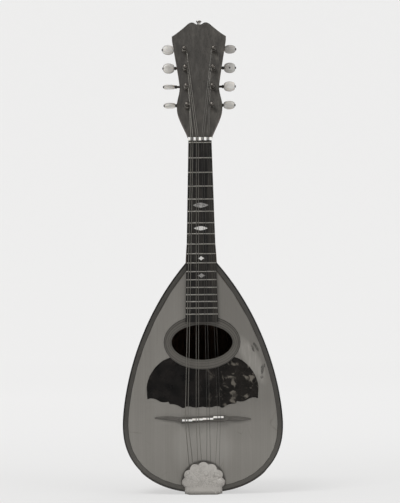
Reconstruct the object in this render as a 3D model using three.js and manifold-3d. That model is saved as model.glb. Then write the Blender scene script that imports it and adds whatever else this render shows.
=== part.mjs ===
// Bowl back mandolin, in millimetres.
// X runs to the right as seen from the front, Y runs from the soundboard into the bowl, +Z up the neck.
// The origin is the tail end of the body, on the centre line, in the plane of the soundboard's face.

import * as THREE from 'three';
import { mergeVertices } from 'three/addons/utils/BufferGeometryUtils.js';
import Module from 'manifold-3d';

const wasm = await Module();
wasm.setup();

// Clearances shared by the whole instrument
const seam = 0.2;
const inlayGap = 0.3;
const runningGap = 0.25;
const overrun = 30;

// Body: outline, bowl and soundboard
const body = {
  length: 276.85,
  width: 192.9,
  bridgeSetback: 7.74,
  neckWidth: 37.6,
  bowlDepth: 136,
  heelDepth: 31,
  boardThickness: 2.4,
  ribWall: 2.4,
  ribCount: 19,
  cantDegrees: 9,
};
const tailCurvePower = 2.243;
const ribCurvePower = 2.2;
const bellyHandleShare = 0.0636;
const neckHandleShare = 0.441;
const neckFlareShare = 0.85;
const heelBlendPower = 3;
const tailSteps = 9;
const upperSteps = 8;

// Edge binding, rosette and pickguard, all let into the soundboard's face
const binding = { width: 6.3 };
const soundhole = { width: 73.2, height: 42.2, fromNeckJoint: 95.55, steps: 34 };
const rosette = { width: 92, height: 64.8, thickness: 1 };
const pickguard = { width: 134.4, height: 60.6, underHoleCentre: 18.3, thickness: 1 };

// Right half of the pickguard's edge from the top middle, as shares of its half width and its height.
// A row of two is a line, a row of four a curve with one handle, a row of six a curve with two.
const pickguardShares = [
  [0.579, 0],
  [0.744, 0.033, 0.975, 0.281, 1, 0.579],
  [0.987, 0.82],
  [0.893, 0.762, 0.759, 0.87],
  [0.677, 0.892, 0.61, 0.87],
  [0.6, 0.902, 0.588, 0.919],
  [0.476, 0.908, 0.372, 0.993],
  [0.335, 1.012, 0.298, 0.972],
  [0.23, 0.958, 0.177, 0.985],
  [0.09, 1, 0, 0.975],
];

// Inner parts
const block = { neckLength: 26, tailLength: 16 };
const lining = { depth: 9, thickness: 5 };
const brace = {
  width: 6,
  depth: 11,
  endDepth: 3,
  endLength: 26,
  wallClearance: 7,
  overHole: 16.6,
  underHole: 15.2,
  overBridge: 22.26,
};

// Tail clasp round the rib ends, shallower towards its own ends
const clasp = { thickness: 0.6, halfWidth: 76, depth: 26, endDepth: 16 };

// Fingerboard, frets and markers
const scaleLength = 330;
const bodyFret = 10;
const lastFret = 17;
const fretRatio = 2 ** (1 / 12);
const fingerboard = {
  thickness: 4,
  nutWidth: 27.7,
  endWidth: 39.6,
  overBody: 71.15,
  beyondZeroFret: 2.2,
};
const fret = { width: 1.5, height: 0.8, crownWidth: 0.7, inset: 0.3 };
const marker = { thickness: 0.8 };
const markerPullShares = { lens: 1.55, diamond: 0.7 };
const curveSteps = 4;
const markers = [
  { fret: 5, width: 19, height: 6.1, form: 'lens' },
  { fret: 7, width: 16.6, height: 5, form: 'lens' },
  { fret: 10, width: 8.6, height: 5.4, form: 'diamond' },
  { fret: 12, width: 10, height: 5.8, form: 'diamond' },
];

// Nut
const nut = { width: 28.5, length: 3.9, height: 6 };

// Neck behind the fingerboard, from the heel to the nut
const neck = {
  nutDepth: 14,
  middleDepth: 18,
  heelReach: 46,
  heelPower: 0.8,
  curvePower: 2.1,
  ringSteps: 10,
};
const heelShares = [0, 0.12, 0.3, 0.55, 1];
const heelNarrowingShare = 0.5;

// Headstock, in its own frame: Y into the wood, Z along it
const head = {
  tiltDegrees: 15,
  faceDrop: 1,
  nutClearance: 0.6,
  length: 144.9,
  width: 64,
  thickness: 14,
  veneer: 1.5,
  blend: 15,
};

// Right half of the headstock's edge from the nut upwards, as shares of its half width and its length
const headShares = [
  [0.569, 0.09, 0.859, 0.187, 0.859, 0.268],
  [0.859, 0.325, 0.744, 0.366, 0.744, 0.44],
  [0.744, 0.51, 0.981, 0.826, 1, 0.879],
  [0.8, 0.905, 0.42, 0.987],
  [0.3, 1.01, 0.18, 0.998],
  [0.1, 0.982, 0, 0.982],
];

// Tuners
const tunerRowShares = [0.756, 0.265];
const tuner = {
  rows: 4,
  firstOffset: 17.8,
  lastOffset: 15,
  plateThickness: 1.2,
  plateWidth: 12,
  plateEnd: 8,
};
const gear = { teeth: 14, pitchRadius: 4.6, width: 2.8, lift: 1.75, backlash: 0.46, hubRadius: 3.3 };
const toothFlankDegrees = 20;
const rootDepthShare = 1.25;
const leastCrestShare = 0.04;
const worm = { pitchRadius: 2.2, length: 6.2, shaftRadius: 1.2, stub: 0.8, steps: 8 };
const ear = { thickness: 1.2, width: 4.4, rise: 9 };
const post = {
  capRadius: 2.6,
  capTop: 11.4,
  capHeight: 1.6,
  waistRadius: 1.9,
  waistFoot: 1.4,
  flangeRadius: 3.4,
  shankRadius: 2.7,
  screwRadius: 2,
  screwHeight: 1.2,
  sides: 8,
};
const capRoundShare = 0.7;
const button = {
  reach: 37.6,
  rowStep: 0.6,
  length: 13.4,
  width: 12.6,
  thickness: 5,
  neckRadius: 2.1,
  curvePower: 2.5,
  rings: 6,
  sides: 10,
};
const buttonNeckShare = 0.9;
const collar = { radius: 2.1, length: 2.2 };
const shaftTip = { length: 0.9, radius: 1.5 };

// Strings, from the low pair on the left to the high pair on the right
const strings = [
  { name: 'g1', side: -1, row: 4, radius: 0.43, turns: 2.4, startHeight: 5.3, buttonDegrees: 80 },
  { name: 'g2', side: -1, row: 3, radius: 0.43, turns: 2.4, startHeight: 8.2, buttonDegrees: 90 },
  { name: 'd1', side: -1, row: 2, radius: 0.32, turns: 2.4, startHeight: 7, buttonDegrees: 10 },
  { name: 'd2', side: -1, row: 1, radius: 0.32, turns: 2.4, startHeight: 7, buttonDegrees: 0 },
  { name: 'a1', side: 1, row: 1, radius: 0.21, turns: 2.4, startHeight: 7, buttonDegrees: 48 },
  { name: 'a2', side: 1, row: 2, radius: 0.21, turns: 2.4, startHeight: 7, buttonDegrees: 5 },
  { name: 'e1', side: 1, row: 3, radius: 0.16, turns: 2.4, startHeight: 7.6, buttonDegrees: 28 },
  { name: 'e2', side: 1, row: 4, radius: 0.16, turns: 2.4, startHeight: 4.8, buttonDegrees: 50 },
];
const stringSpread = { nutCourses: 19.2, nutPair: 2.3, bridgeCourses: 39, bridgePair: 3.2, hooks: 35 };
const windingGap = 0.5;
const windingSteps = 8;
const hookSteps = 4;
const stringSides = 5;
const heightOverBridge = 9;

// Bridge and saddle
const bridge = { width: 116, centreWidth: 51, length: 9.6, height: 6.2, wingHeight: 3.4, tipHeight: 1.4 };
const bridgeWing = { rootLength: 5.4, tipLength: 1.6, curveSteps: 5 };
const wingShares = { shoulder: 1.08, plan: 1.12, handle: 1.3 };
const saddle = { width: 50, thickness: 2.9, seat: 1.6, stepAt: 11.6, middleSetback: 0.8, endOffset: 1.7 };
const compensation = 1.9;

// Tailpiece base and its cover, in the frame of the canted tail
const base = {
  width: 40,
  top: 26,
  thickness: 0.8,
  flapWidth: 18,
  flapDepth: 15,
  hookRadius: 0.9,
  hookHeight: 3.2,
  hookLine: 17,
  hookSides: 8,
};
const cover = {
  topReach: 30.9,
  sideReach: 25.3,
  fanCentre: 8,
  foot: 1.4,
  footWidth: 45.4,
  lobes: 7,
  lobeDegrees: 25.2,
  notch: 2.2,
  thickness: 0.9,
  topEdgeHeight: 6.4,
  sideEdgeHeight: 1.6,
  crownHeight: 8,
  flute: 0.7,
  reachPower: 2,
  dropPower: 5,
  stepsPerLobe: 4,
  rings: 4,
};
const coverEdgeShares = [0.45, 0.95];
const coverCornerShares = [0.7, 1];
const coverFootShares = [1, 0.7, 0.35, 0, -0.35, -0.7, -1];

// Strap button in the headstock's top end
const strapButton = {
  flangeRadius: 3.4,
  flangeThickness: 2,
  neckRadius: 2,
  neckLength: 5,
  shankLength: 7,
  sides: 10,
};

// Values worked out from the sizes above
const radians = (degrees) => THREE.MathUtils.degToRad(degrees);
const halfWidth = body.width / 2;
const cantSlope = Math.tan(radians(body.cantDegrees));
const rimPlane = body.boardThickness + seam;
const zeroFret = body.length + scaleLength * (1 - fretRatio ** -bodyFret);
const bridgeLine = zeroFret - scaleLength - compensation;
const crease = bridgeLine - body.bridgeSetback;
const holeCentre = body.length - soundhole.fromNeckJoint;
const holeTop = holeCentre + soundhole.height / 2;
const holeBottom = holeCentre - soundhole.height / 2;
const boardEnd = body.length - fingerboard.overBody;
const boardTop = zeroFret + fingerboard.beyondZeroFret;
const nutBase = boardTop + seam;
const nutTop = nutBase + nut.length;
const fretCrown = fingerboard.thickness + fret.height;
const weldDistance = 1e-4;
const nudge = 1e-3;

// Materials
const finish = (color, roughness, metalness = 0) => () =>
  new THREE.MeshStandardMaterial({ color, roughness, metalness });
const spruce = finish('#8b7f6c', 0.5);
const rosewood = finish('#4a3a30', 0.4);
const mahogany = finish('#5a4638', 0.45);
const ebony = finish('#2d2825', 0.5);
const darkBand = finish('#544c45', 0.4);
const tortoise = finish('#1d1815', 0.25);
const ringInlay = finish('#67605a', 0.4);
const pearl = finish('#b5b0aa', 0.25);
const bone = finish('#dcd6c8', 0.4);
const ivory = finish('#cfc9bb', 0.35);
const steel = finish('#8d8b88', 0.35, 1);
const nickel = finish('#a8a5a0', 0.3, 1);
const brass = finish('#9a8350', 0.4, 1);
const paleWood = finish('#9c8a6e', 0.7);

// Solids from closed geometry, and back
function toSolid(geometry) {
  const bare = geometry.clone();
  bare.deleteAttribute('normal');
  bare.deleteAttribute('uv');
  const merged = mergeVertices(bare, weldDistance);
  return new wasm.Manifold(new wasm.Mesh({
    numProp: 3,
    vertProperties: merged.attributes.position.array,
    triVerts: new Uint32Array(merged.index.array),
  }));
}

function toGeometry(solid) {
  const mesh = solid.getMesh();
  const geometry = new THREE.BufferGeometry();
  geometry.setAttribute('position', new THREE.BufferAttribute(new Float32Array(mesh.vertProperties), 3));
  geometry.setIndex(new THREE.BufferAttribute(new Uint32Array(mesh.triVerts), 1));
  return geometry;
}

const cut = (geometry, ...tools) =>
  toGeometry(tools.reduce((solid, tool) => solid.subtract(toSolid(tool)), toSolid(geometry)));
const join = (geometry, ...others) =>
  toGeometry(others.reduce((solid, other) => solid.add(toSolid(other)), toSolid(geometry)));
const common = (a, b) => toGeometry(toSolid(a).intersect(toSolid(b)));

// A closed geometry from points and faces, turned to face outwards
function closedGeometry(points, faces) {
  let volume = 0;
  for (const [a, b, c] of faces) {
    volume += points[a].dot(points[b].clone().cross(points[c]));
  }
  const order = volume < 0 ? faces.map(([a, b, c]) => [a, c, b]) : faces;
  const geometry = new THREE.BufferGeometry().setFromPoints(points);
  geometry.setIndex(order.flat());
  return geometry;
}

// A closed skin over rings with the same number of points, capped at its first and last ring
function loft(rings) {
  const count = rings[0].length;
  const points = rings.flat();
  const faces = [];
  for (let ring = 0; ring + 1 < rings.length; ring += 1) {
    for (let i = 0; i < count; i += 1) {
      const a = ring * count + i;
      const b = ring * count + (i + 1) % count;
      faces.push([a, b, b + count], [a, b + count, a + count]);
    }
  }
  for (const end of [0, rings.length - 1]) {
    const centre = new THREE.Vector3();
    rings[end].forEach((point) => centre.addScaledVector(point, 1 / count));
    const hub = points.push(centre) - 1;
    for (let i = 0; i < count; i += 1) {
      const a = end * count + i;
      const b = end * count + (i + 1) % count;
      faces.push(end === 0 ? [b, a, hub] : [a, b, hub]);
    }
  }
  return closedGeometry(points, faces);
}

// Prisms: an outline in X and Z given a span of Y, and an outline in Y and Z given a span of X
function slab(shape, front, back) {
  const geometry = new THREE.ExtrudeGeometry(shape, {
    depth: back - front,
    bevelEnabled: false,
    curveSegments: curveSteps,
  });
  return geometry.rotateX(Math.PI / 2).translate(0, back, 0);
}

function crosswise(shape, left, right) {
  const geometry = new THREE.ExtrudeGeometry(shape, { depth: right - left, bevelEnabled: false });
  const turn = new THREE.Matrix4().makeBasis(
    new THREE.Vector3(0, 1, 0),
    new THREE.Vector3(0, 0, 1),
    new THREE.Vector3(1, 0, 0),
  );
  return geometry.applyMatrix4(turn).translate(left, 0, 0);
}

function box([x0, x1], [y0, y1], [z0, z1]) {
  const geometry = new THREE.BoxGeometry(x1 - x0, y1 - y0, z1 - z0);
  return geometry.translate((x0 + x1) / 2, (y0 + y1) / 2, (z0 + z1) / 2);
}

const polygon = (points) => new THREE.Shape(points.map(([u, v]) => new THREE.Vector2(u, v)));

// An outline that is the same on both sides of X = 0: it starts on that line, passes any first corners,
// and follows rows of shares back to the line
function mirrored(start, corners, rows, place) {
  const half = new THREE.Shape();
  half.moveTo(0, start);
  corners.forEach(([x, z]) => half.lineTo(x, z));
  for (const row of rows) {
    const numbers = [];
    for (let i = 0; i < row.length; i += 2) numbers.push(...place(row[i], row[i + 1]));
    if (row.length === 2) half.lineTo(...numbers);
    else if (row.length === 4) half.quadraticCurveTo(...numbers);
    else half.bezierCurveTo(...numbers);
  }
  const right = half.getPoints(curveSteps);
  const left = right.slice(1, -1).reverse().map((point) => new THREE.Vector2(-point.x, point.y));
  return new THREE.Shape([...right, ...left]);
}

// A round bar along X or Y
function barAlongX(radius, from, to, sides) {
  const bar = new THREE.CylinderGeometry(radius, radius, to - from, sides);
  return bar.rotateZ(Math.PI / 2).translate((from + to) / 2, 0, 0);
}

function barAlongY(radius, from, to, sides) {
  const bar = new THREE.CylinderGeometry(radius, radius, to - from, sides);
  return bar.translate(0, (from + to) / 2, 0);
}

// The corner radius of a bore whose flat sides clear a round bar
const boreRadius = (radius, sides) => (radius + runningGap) / Math.cos(Math.PI / sides);

// The canted tail: everything below the crease slopes back
function canted(geometry) {
  const solid = toSolid(geometry);
  const reach = body.length + overrun;
  const upper = solid.intersect(toSolid(box([-reach, reach], [-reach, reach], [crease, reach])));
  const lower = toGeometry(solid.intersect(toSolid(box([-reach, reach], [-reach, reach], [-reach, crease]))));
  const place = lower.attributes.position;
  for (let i = 0; i < place.count; i += 1) {
    place.setY(i, place.getY(i) + (crease - place.getZ(i)) * cantSlope);
  }
  return upper.isEmpty() ? lower : toGeometry(upper.add(toSolid(lower)));
}

// Half outline of the body: 0 at the tail, 1 at the widest place, 2 at the neck joint
const upperCurve = new THREE.CubicBezierCurve(
  new THREE.Vector2(halfWidth, crease),
  new THREE.Vector2(halfWidth, crease + (body.length - crease) * bellyHandleShare),
  new THREE.Vector2(
    body.neckWidth / 2 + (body.length - crease) * neckHandleShare * neckFlareShare,
    body.length - (body.length - crease) * neckHandleShare,
  ),
  new THREE.Vector2(body.neckWidth / 2, body.length),
);

function outlineAt(u) {
  if (u > 1) return upperCurve.getPoint(u - 1);
  const angle = u * Math.PI / 2;
  const side = Math.sin(angle) ** (2 / tailCurvePower);
  const rise = 1 - Math.max(0, Math.cos(angle)) ** (2 / tailCurvePower);
  return new THREE.Vector2(halfWidth * side, crease * rise);
}

const outlineStations = [];
for (let i = 0; i <= tailSteps; i += 1) outlineStations.push(i / tailSteps);
for (let i = 1; i <= upperSteps; i += 1) outlineStations.push(1 + i / upperSteps);

// The half outline moved inwards, and run on straight to the neck joint or a little past it
function insetHalf(inset, past) {
  const points = outlineStations.map((u) => {
    const before = outlineAt(Math.max(0, u - nudge));
    const after = outlineAt(Math.min(2, u + nudge));
    const along = after.sub(before).normalize();
    const outward = u === 0 ? new THREE.Vector2(0, -1) : new THREE.Vector2(along.y, -along.x);
    return outlineAt(u).addScaledVector(outward, -inset);
  });
  const kept = points.filter((point) => point.y < body.length);
  const [last, before] = [kept.at(-1), kept.at(-2)];
  const run = (body.length + past - last.y) / (last.y - before.y);
  kept.push(last.clone().add(last.clone().sub(before).multiplyScalar(run)));
  return kept;
}

// The whole outline of the body, moved inwards
function insetOutline(inset, past = 0) {
  const half = inset > 0 ? insetHalf(inset, past) : outlineStations.map(outlineAt);
  const left = half.slice(1).reverse().map((point) => new THREE.Vector2(-point.x, point.y));
  return new THREE.Shape([...left, ...half]);
}

// Depth of the bowl for its half width, at a height up the body
function depthRatio(z) {
  const belly = body.bowlDepth / halfWidth;
  const heel = 2 * body.heelDepth / body.neckWidth;
  return THREE.MathUtils.lerp(belly, heel, (z / body.length) ** heelBlendPower);
}

// Bowl surface: a station along the outline and an angle round the ribs from the right rim to the left
function bowlPoint(u, angle) {
  const edge = outlineAt(u);
  const across = Math.sign(Math.cos(angle)) * Math.abs(Math.cos(angle)) ** (2 / ribCurvePower);
  const down = Math.abs(Math.sin(angle)) ** (2 / ribCurvePower);
  return new THREE.Vector3(edge.x * across, edge.x * depthRatio(edge.y) * down, edge.y);
}

function bowlInward(u, angle) {
  if (u === 0) return new THREE.Vector3(0, 0, 1);
  const along = bowlPoint(Math.min(2, u + nudge), angle).sub(bowlPoint(u - nudge, angle));
  const low = Math.max(0, angle - nudge);
  const high = Math.min(Math.PI, angle + nudge);
  const round = bowlPoint(u, high).sub(bowlPoint(u, low));
  return along.cross(round).normalize();
}

// The bowl's space as a solid, moved inwards, from a top plane to the neck joint or past it
function bowlSolid(inset, top, past = 0) {
  const rings = outlineStations.map((u) => {
    const ring = [];
    for (let rib = 0; rib <= body.ribCount; rib += 1) {
      const angle = Math.PI * rib / body.ribCount;
      const point = bowlPoint(u, angle).addScaledVector(bowlInward(u, angle), inset);
      ring.push(point.setY(point.y + rimPlane));
    }
    return ring;
  });
  const [last, before] = [rings.at(-1), rings.at(-2)];
  if (inset > 0) {
    const runTo = body.length + past;
    rings.push(last.map((point, i) => {
      const step = point.clone().sub(before[i]);
      return point.clone().addScaledVector(step, (runTo - point.z) / step.z);
    }));
  }
  rings.forEach((ring) => {
    ring[0].setY(top);
    ring.at(-1).setY(top);
  });
  return loft(rings);
}

function makeBowl() {
  return canted(cut(bowlSolid(0, rimPlane), bowlSolid(body.ribWall, rimPlane - seam, overrun)));
}

// Blocks, linings and braces inside the bowl
const chamber = () => bowlSolid(body.ribWall + seam, rimPlane);

function makeNeckBlock() {
  const from = body.length - block.neckLength;
  return common(chamber(), box([-halfWidth, halfWidth], [0, body.bowlDepth], [from, body.length]));
}

function makeTailBlock() {
  const depth = body.bowlDepth;
  return canted(common(chamber(), box([-halfWidth, halfWidth], [0, depth], [0, block.tailLength])));
}

function makeLining(side) {
  const outer = chamber();
  const inner = bowlSolid(body.ribWall + seam + lining.thickness, rimPlane - seam, overrun);
  const from = block.tailLength + seam;
  const to = body.length - block.neckLength - seam;
  const across = side < 0 ? [-halfWidth, 0] : [0, halfWidth];
  const span = box(across, [0, rimPlane + lining.depth], [from, to]);
  return canted(common(cut(outer, inner), span));
}

function halfWidthAt(z) {
  let low = 0;
  let high = 2;
  while (high - low > weldDistance / body.length) {
    const middle = (low + high) / 2;
    if (outlineAt(middle).y < z) low = middle;
    else high = middle;
  }
  return outlineAt(low).x;
}

function makeBrace(z) {
  const reach = halfWidthAt(z + brace.width / 2) - body.ribWall - lining.thickness - brace.wallClearance;
  const top = body.boardThickness;
  const shape = polygon([
    [-reach, top],
    [reach, top],
    [reach, top + brace.endDepth],
    [reach - brace.endLength, top + brace.depth],
    [brace.endLength - reach, top + brace.depth],
    [-reach, top + brace.endDepth],
  ]);
  const geometry = new THREE.ExtrudeGeometry(shape, { depth: brace.width, bevelEnabled: false });
  return geometry.translate(0, 0, z - brace.width / 2);
}

// Soundboard, its binding and inlays
const ellipse = (width, height) => {
  const curve = new THREE.EllipseCurve(0, holeCentre, width / 2, height / 2);
  return new THREE.Shape(curve.getPoints(soundhole.steps).slice(0, -1));
};

function pickguardShape(grow) {
  const half = pickguard.width / 2 + grow;
  const top = holeCentre - pickguard.underHoleCentre + grow;
  const height = pickguard.height + 2 * grow;
  return mirrored(top, [], pickguardShares, (across, down) => [half * across, top - height * down]);
}

function makeSoundboard() {
  const plate = slab(insetOutline(binding.width + inlayGap), 0, body.boardThickness);
  const hole = slab(ellipse(soundhole.width, soundhole.height), -overrun, overrun);
  const ringSeat = slab(
    ellipse(rosette.width + 2 * inlayGap, rosette.height + 2 * inlayGap),
    -overrun,
    rosette.thickness,
  );
  const guardSeat = slab(pickguardShape(inlayGap), -overrun, pickguard.thickness);
  return canted(cut(plate, hole, ringSeat, guardSeat));
}

function makeBinding() {
  const outer = slab(insetOutline(0), 0, body.boardThickness);
  return canted(cut(outer, slab(insetOutline(binding.width, seam), -overrun, overrun)));
}

function makeRosette() {
  const ring = slab(ellipse(rosette.width, rosette.height), 0, rosette.thickness);
  return cut(ring, slab(ellipse(soundhole.width, soundhole.height), -overrun, overrun));
}

function makePickguard() {
  const plate = slab(pickguardShape(0), 0, pickguard.thickness);
  const ringEdge = ellipse(rosette.width + 2 * inlayGap, rosette.height + 2 * inlayGap);
  return cut(plate, slab(ringEdge, -overrun, overrun));
}

// Clasp: a thin band round the tail, cut out of the bowl's own form moved outwards
function makeClasp() {
  const skin = cut(bowlSolid(-seam - clasp.thickness, rimPlane), bowlSolid(-seam, rimPlane - seam));
  const half = clasp.halfWidth;
  const span = new THREE.Shape();
  span.moveTo(-half, rimPlane);
  span.lineTo(half, rimPlane);
  span.lineTo(half, rimPlane + clasp.endDepth);
  span.quadraticCurveTo(0, rimPlane + 2 * clasp.depth - clasp.endDepth, -half, rimPlane + clasp.endDepth);
  const region = new THREE.ExtrudeGeometry(span, {
    depth: crease + overrun,
    bevelEnabled: false,
    curveSegments: curveSteps,
  });
  return canted(common(skin, region.translate(0, 0, -overrun)));
}

// Fingerboard with its frets, and the markers let into it
const fretLine = (number) => zeroFret - scaleLength * (1 - fretRatio ** -number);

function boardWidthAt(z) {
  const share = (boardTop - z) / (boardTop - boardEnd);
  return THREE.MathUtils.lerp(fingerboard.nutWidth, fingerboard.endWidth, share);
}

function fretBar(number) {
  const z = fretLine(number);
  const half = boardWidthAt(z) / 2 - fret.inset;
  const face = -fingerboard.thickness;
  const profile = polygon([
    [face + fret.height, z - fret.width / 2],
    [face, z - fret.width / 2],
    [face - fret.height, z - fret.crownWidth / 2],
    [face - fret.height, z + fret.crownWidth / 2],
    [face, z + fret.width / 2],
    [face + fret.height, z + fret.width / 2],
  ]);
  return crosswise(profile, -half, half);
}

function markerShape({ fret: number, width, height, form }, grow) {
  const z = (fretLine(number) + fretLine(number - 1)) / 2;
  const tall = height / 2 + grow;
  const wide = width / 2 + grow * width / height;
  const pull = markerPullShares[form];
  const shape = new THREE.Shape();
  shape.moveTo(-wide, z);
  for (const [x, y] of [[0, -1], [1, 0], [0, 1], [-1, 0]]) {
    const [handleX, handleY] = [(x || y) * Math.min(1, pull) / 2, (y || -x) * pull / 2];
    shape.quadraticCurveTo(wide * handleX, z + tall * handleY, wide * x, z + tall * y);
  }
  return shape;
}

function markerSlab(item, grow, raise) {
  const face = -fingerboard.thickness;
  return slab(markerShape(item, grow), face - raise, face + marker.thickness);
}

function makeFingerboard() {
  const wide = fingerboard.endWidth / 2;
  const narrow = fingerboard.nutWidth / 2;
  const outline = polygon([
    [-wide, boardEnd],
    [wide, boardEnd],
    [narrow, boardTop],
    [-narrow, boardTop],
  ]);
  let board = slab(outline, -fingerboard.thickness, 0);
  for (let number = 0; number <= lastFret; number += 1) board = join(board, fretBar(number));
  return cut(board, ...markers.map((item) => markerSlab(item, inlayGap, overrun)));
}

const makeMarker = (item) => markerSlab(item, 0, 0);

// Nut with a slot under each string
function makeNut(routes) {
  const half = nut.width / 2;
  const block = box([-half, half], [-nut.height, 0], [nutBase, nutTop]);
  const slots = strings.map((item, i) => {
    const [x, y] = [routes[i].nut.x, routes[i].nut.y];
    const gap = item.radius + runningGap;
    return box([x - gap, x + gap], [-nut.height - overrun, y + gap], [nutBase - overrun, nutTop + overrun]);
  });
  return cut(block, ...slots);
}

// Frames of the headstock and of the canted tail
const headFrame = new THREE.Group();
headFrame.position.set(0, -head.faceDrop, nutTop + head.nutClearance);
headFrame.rotation.x = -radians(head.tiltDegrees);
headFrame.updateMatrixWorld();

const tailFrame = new THREE.Group();
tailFrame.position.set(0, 0, crease);
tailFrame.rotation.x = radians(body.cantDegrees);
tailFrame.updateMatrixWorld();

// Headstock outline, in its own frame
function headShape() {
  const corner = [fingerboard.nutWidth / 2, 0];
  const half = head.width / 2;
  return mirrored(0, [corner], headShares, (across, along) => [half * across, head.length * along]);
}

// Tuner rows, counted from the top of the headstock
const [firstRow, lastRow] = tunerRowShares.map((share) => head.length * share);
const rowShare = (row) => (row - 1) / (tuner.rows - 1);
const rowLine = (row) => THREE.MathUtils.lerp(firstRow, lastRow, rowShare(row));
const rowOffset = (row) => THREE.MathUtils.lerp(tuner.firstOffset, tuner.lastOffset, rowShare(row));
const postHoles = () => strings.map(({ side, row }) =>
  barAlongY(boreRadius(post.shankRadius, post.sides), -overrun, head.thickness + overrun, post.sides)
    .translate(side * rowOffset(row), 0, rowLine(row)));

const strapSeat = head.length * headShares.at(-1).at(-1);
const strapDepth = (head.thickness + head.veneer) / 2;

function strapHole() {
  const radius = strapButton.neckRadius + runningGap;
  const bore = new THREE.CylinderGeometry(radius, radius, strapButton.shankLength + overrun, post.sides);
  const middle = strapSeat + (overrun - strapButton.shankLength) / 2;
  return bore.rotateX(Math.PI / 2).translate(0, strapDepth, middle);
}

function makeVeneer() {
  return cut(slab(headShape(), 0, head.veneer), ...postHoles());
}

// Neck: a lofted shaft and heel, joined to the headstock
function neckRing(z, front, depth, half) {
  const ring = [];
  for (let i = 0; i <= neck.ringSteps; i += 1) {
    const angle = Math.PI * i / neck.ringSteps;
    const across = Math.sign(Math.cos(angle)) * Math.abs(Math.cos(angle)) ** (2 / neck.curvePower);
    const down = Math.abs(Math.sin(angle)) ** (2 / neck.curvePower);
    ring.push(new THREE.Vector3(half * across, front + depth * down, z));
  }
  return ring;
}

function makeNeck() {
  const rings = heelShares.map((share) => {
    const z = body.length + neck.heelReach * share;
    const heel = rimPlane + body.heelDepth;
    const rise = Math.sin(share * Math.PI / 2) ** neck.heelPower;
    const depth = THREE.MathUtils.lerp(heel, neck.middleDepth, rise);
    const narrowing = Math.min(1, share / heelNarrowingShare);
    return neckRing(z, 0, depth, THREE.MathUtils.lerp(body.neckWidth, boardWidthAt(z), narrowing) / 2);
  });
  rings.push(neckRing(nutTop, 0, neck.nutDepth, fingerboard.nutWidth / 2));
  const slope = Math.tan(radians(head.tiltDegrees));
  const end = nutTop + head.blend;
  const face = head.blend * slope + head.veneer;
  const back = (head.blend - head.nutClearance) * slope - head.faceDrop + head.thickness;
  rings.push(neckRing(end, face, back - face, fingerboard.nutWidth / 2));
  const core = slab(headShape(), head.veneer + seam, head.thickness).applyMatrix4(headFrame.matrixWorld);
  const inHead = (geometry) => geometry.applyMatrix4(headFrame.matrixWorld);
  const veneerSpace = box(
    [-head.width, head.width],
    [-overrun, head.veneer + seam],
    [-seam, head.length + overrun],
  );
  const holes = postHoles().map(inHead);
  return cut(join(loft(rings), core), inHead(veneerSpace), ...holes, inHead(strapHole()));
}

// Tuners
const leadPitch = 2 * Math.PI * gear.pitchRadius / gear.teeth;
const gearModule = 2 * gear.pitchRadius / gear.teeth;
const rootDepth = gearModule * rootDepthShare;
const wormOuter = worm.pitchRadius + gearModule;
const wormRoot = worm.pitchRadius - rootDepth;
const gearCentre = head.thickness + tuner.plateThickness + gear.lift + gear.width / 2;
const wormDistance = gear.pitchRadius + worm.pitchRadius;
const threadSlope = leadPitch / (2 * Math.PI * worm.pitchRadius);

// One turn of a tooth or thread, as shares of a pitch: root end, crest start, crest end, root start
function toothShares() {
  const flank = gearModule * Math.tan(radians(toothFlankDegrees)) / leadPitch;
  const atPitch = (leadPitch - gear.backlash) / (2 * leadPitch);
  const root = atPitch / 2 + flank * rootDepthShare;
  const crest = Math.max(leastCrestShare, atPitch / 2 - flank);
  return { root, crest };
}

// Worm wheel: straight profile teeth, twisted along the axis to follow the thread, axis along Y
function makeWheel() {
  const { root, crest } = toothShares();
  const tooth = [
    [-root, gear.pitchRadius - rootDepth],
    [-crest, gear.pitchRadius + gearModule],
    [crest, gear.pitchRadius + gearModule],
    [root, gear.pitchRadius - rootDepth],
  ];
  const ringAt = (y) => {
    const twist = (y - gearCentre) * threadSlope / gear.pitchRadius;
    const ring = [];
    for (let number = 0; number < gear.teeth; number += 1) {
      for (const [share, radius] of tooth) {
        const angle = (number + 0.5 + share) * 2 * Math.PI / gear.teeth + twist;
        ring.push(new THREE.Vector3(radius * Math.sin(angle), y, radius * Math.cos(angle)));
      }
    }
    return ring;
  };
  return loft([ringAt(gearCentre - gear.width / 2), ringAt(gearCentre + gear.width / 2)]);
}

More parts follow.
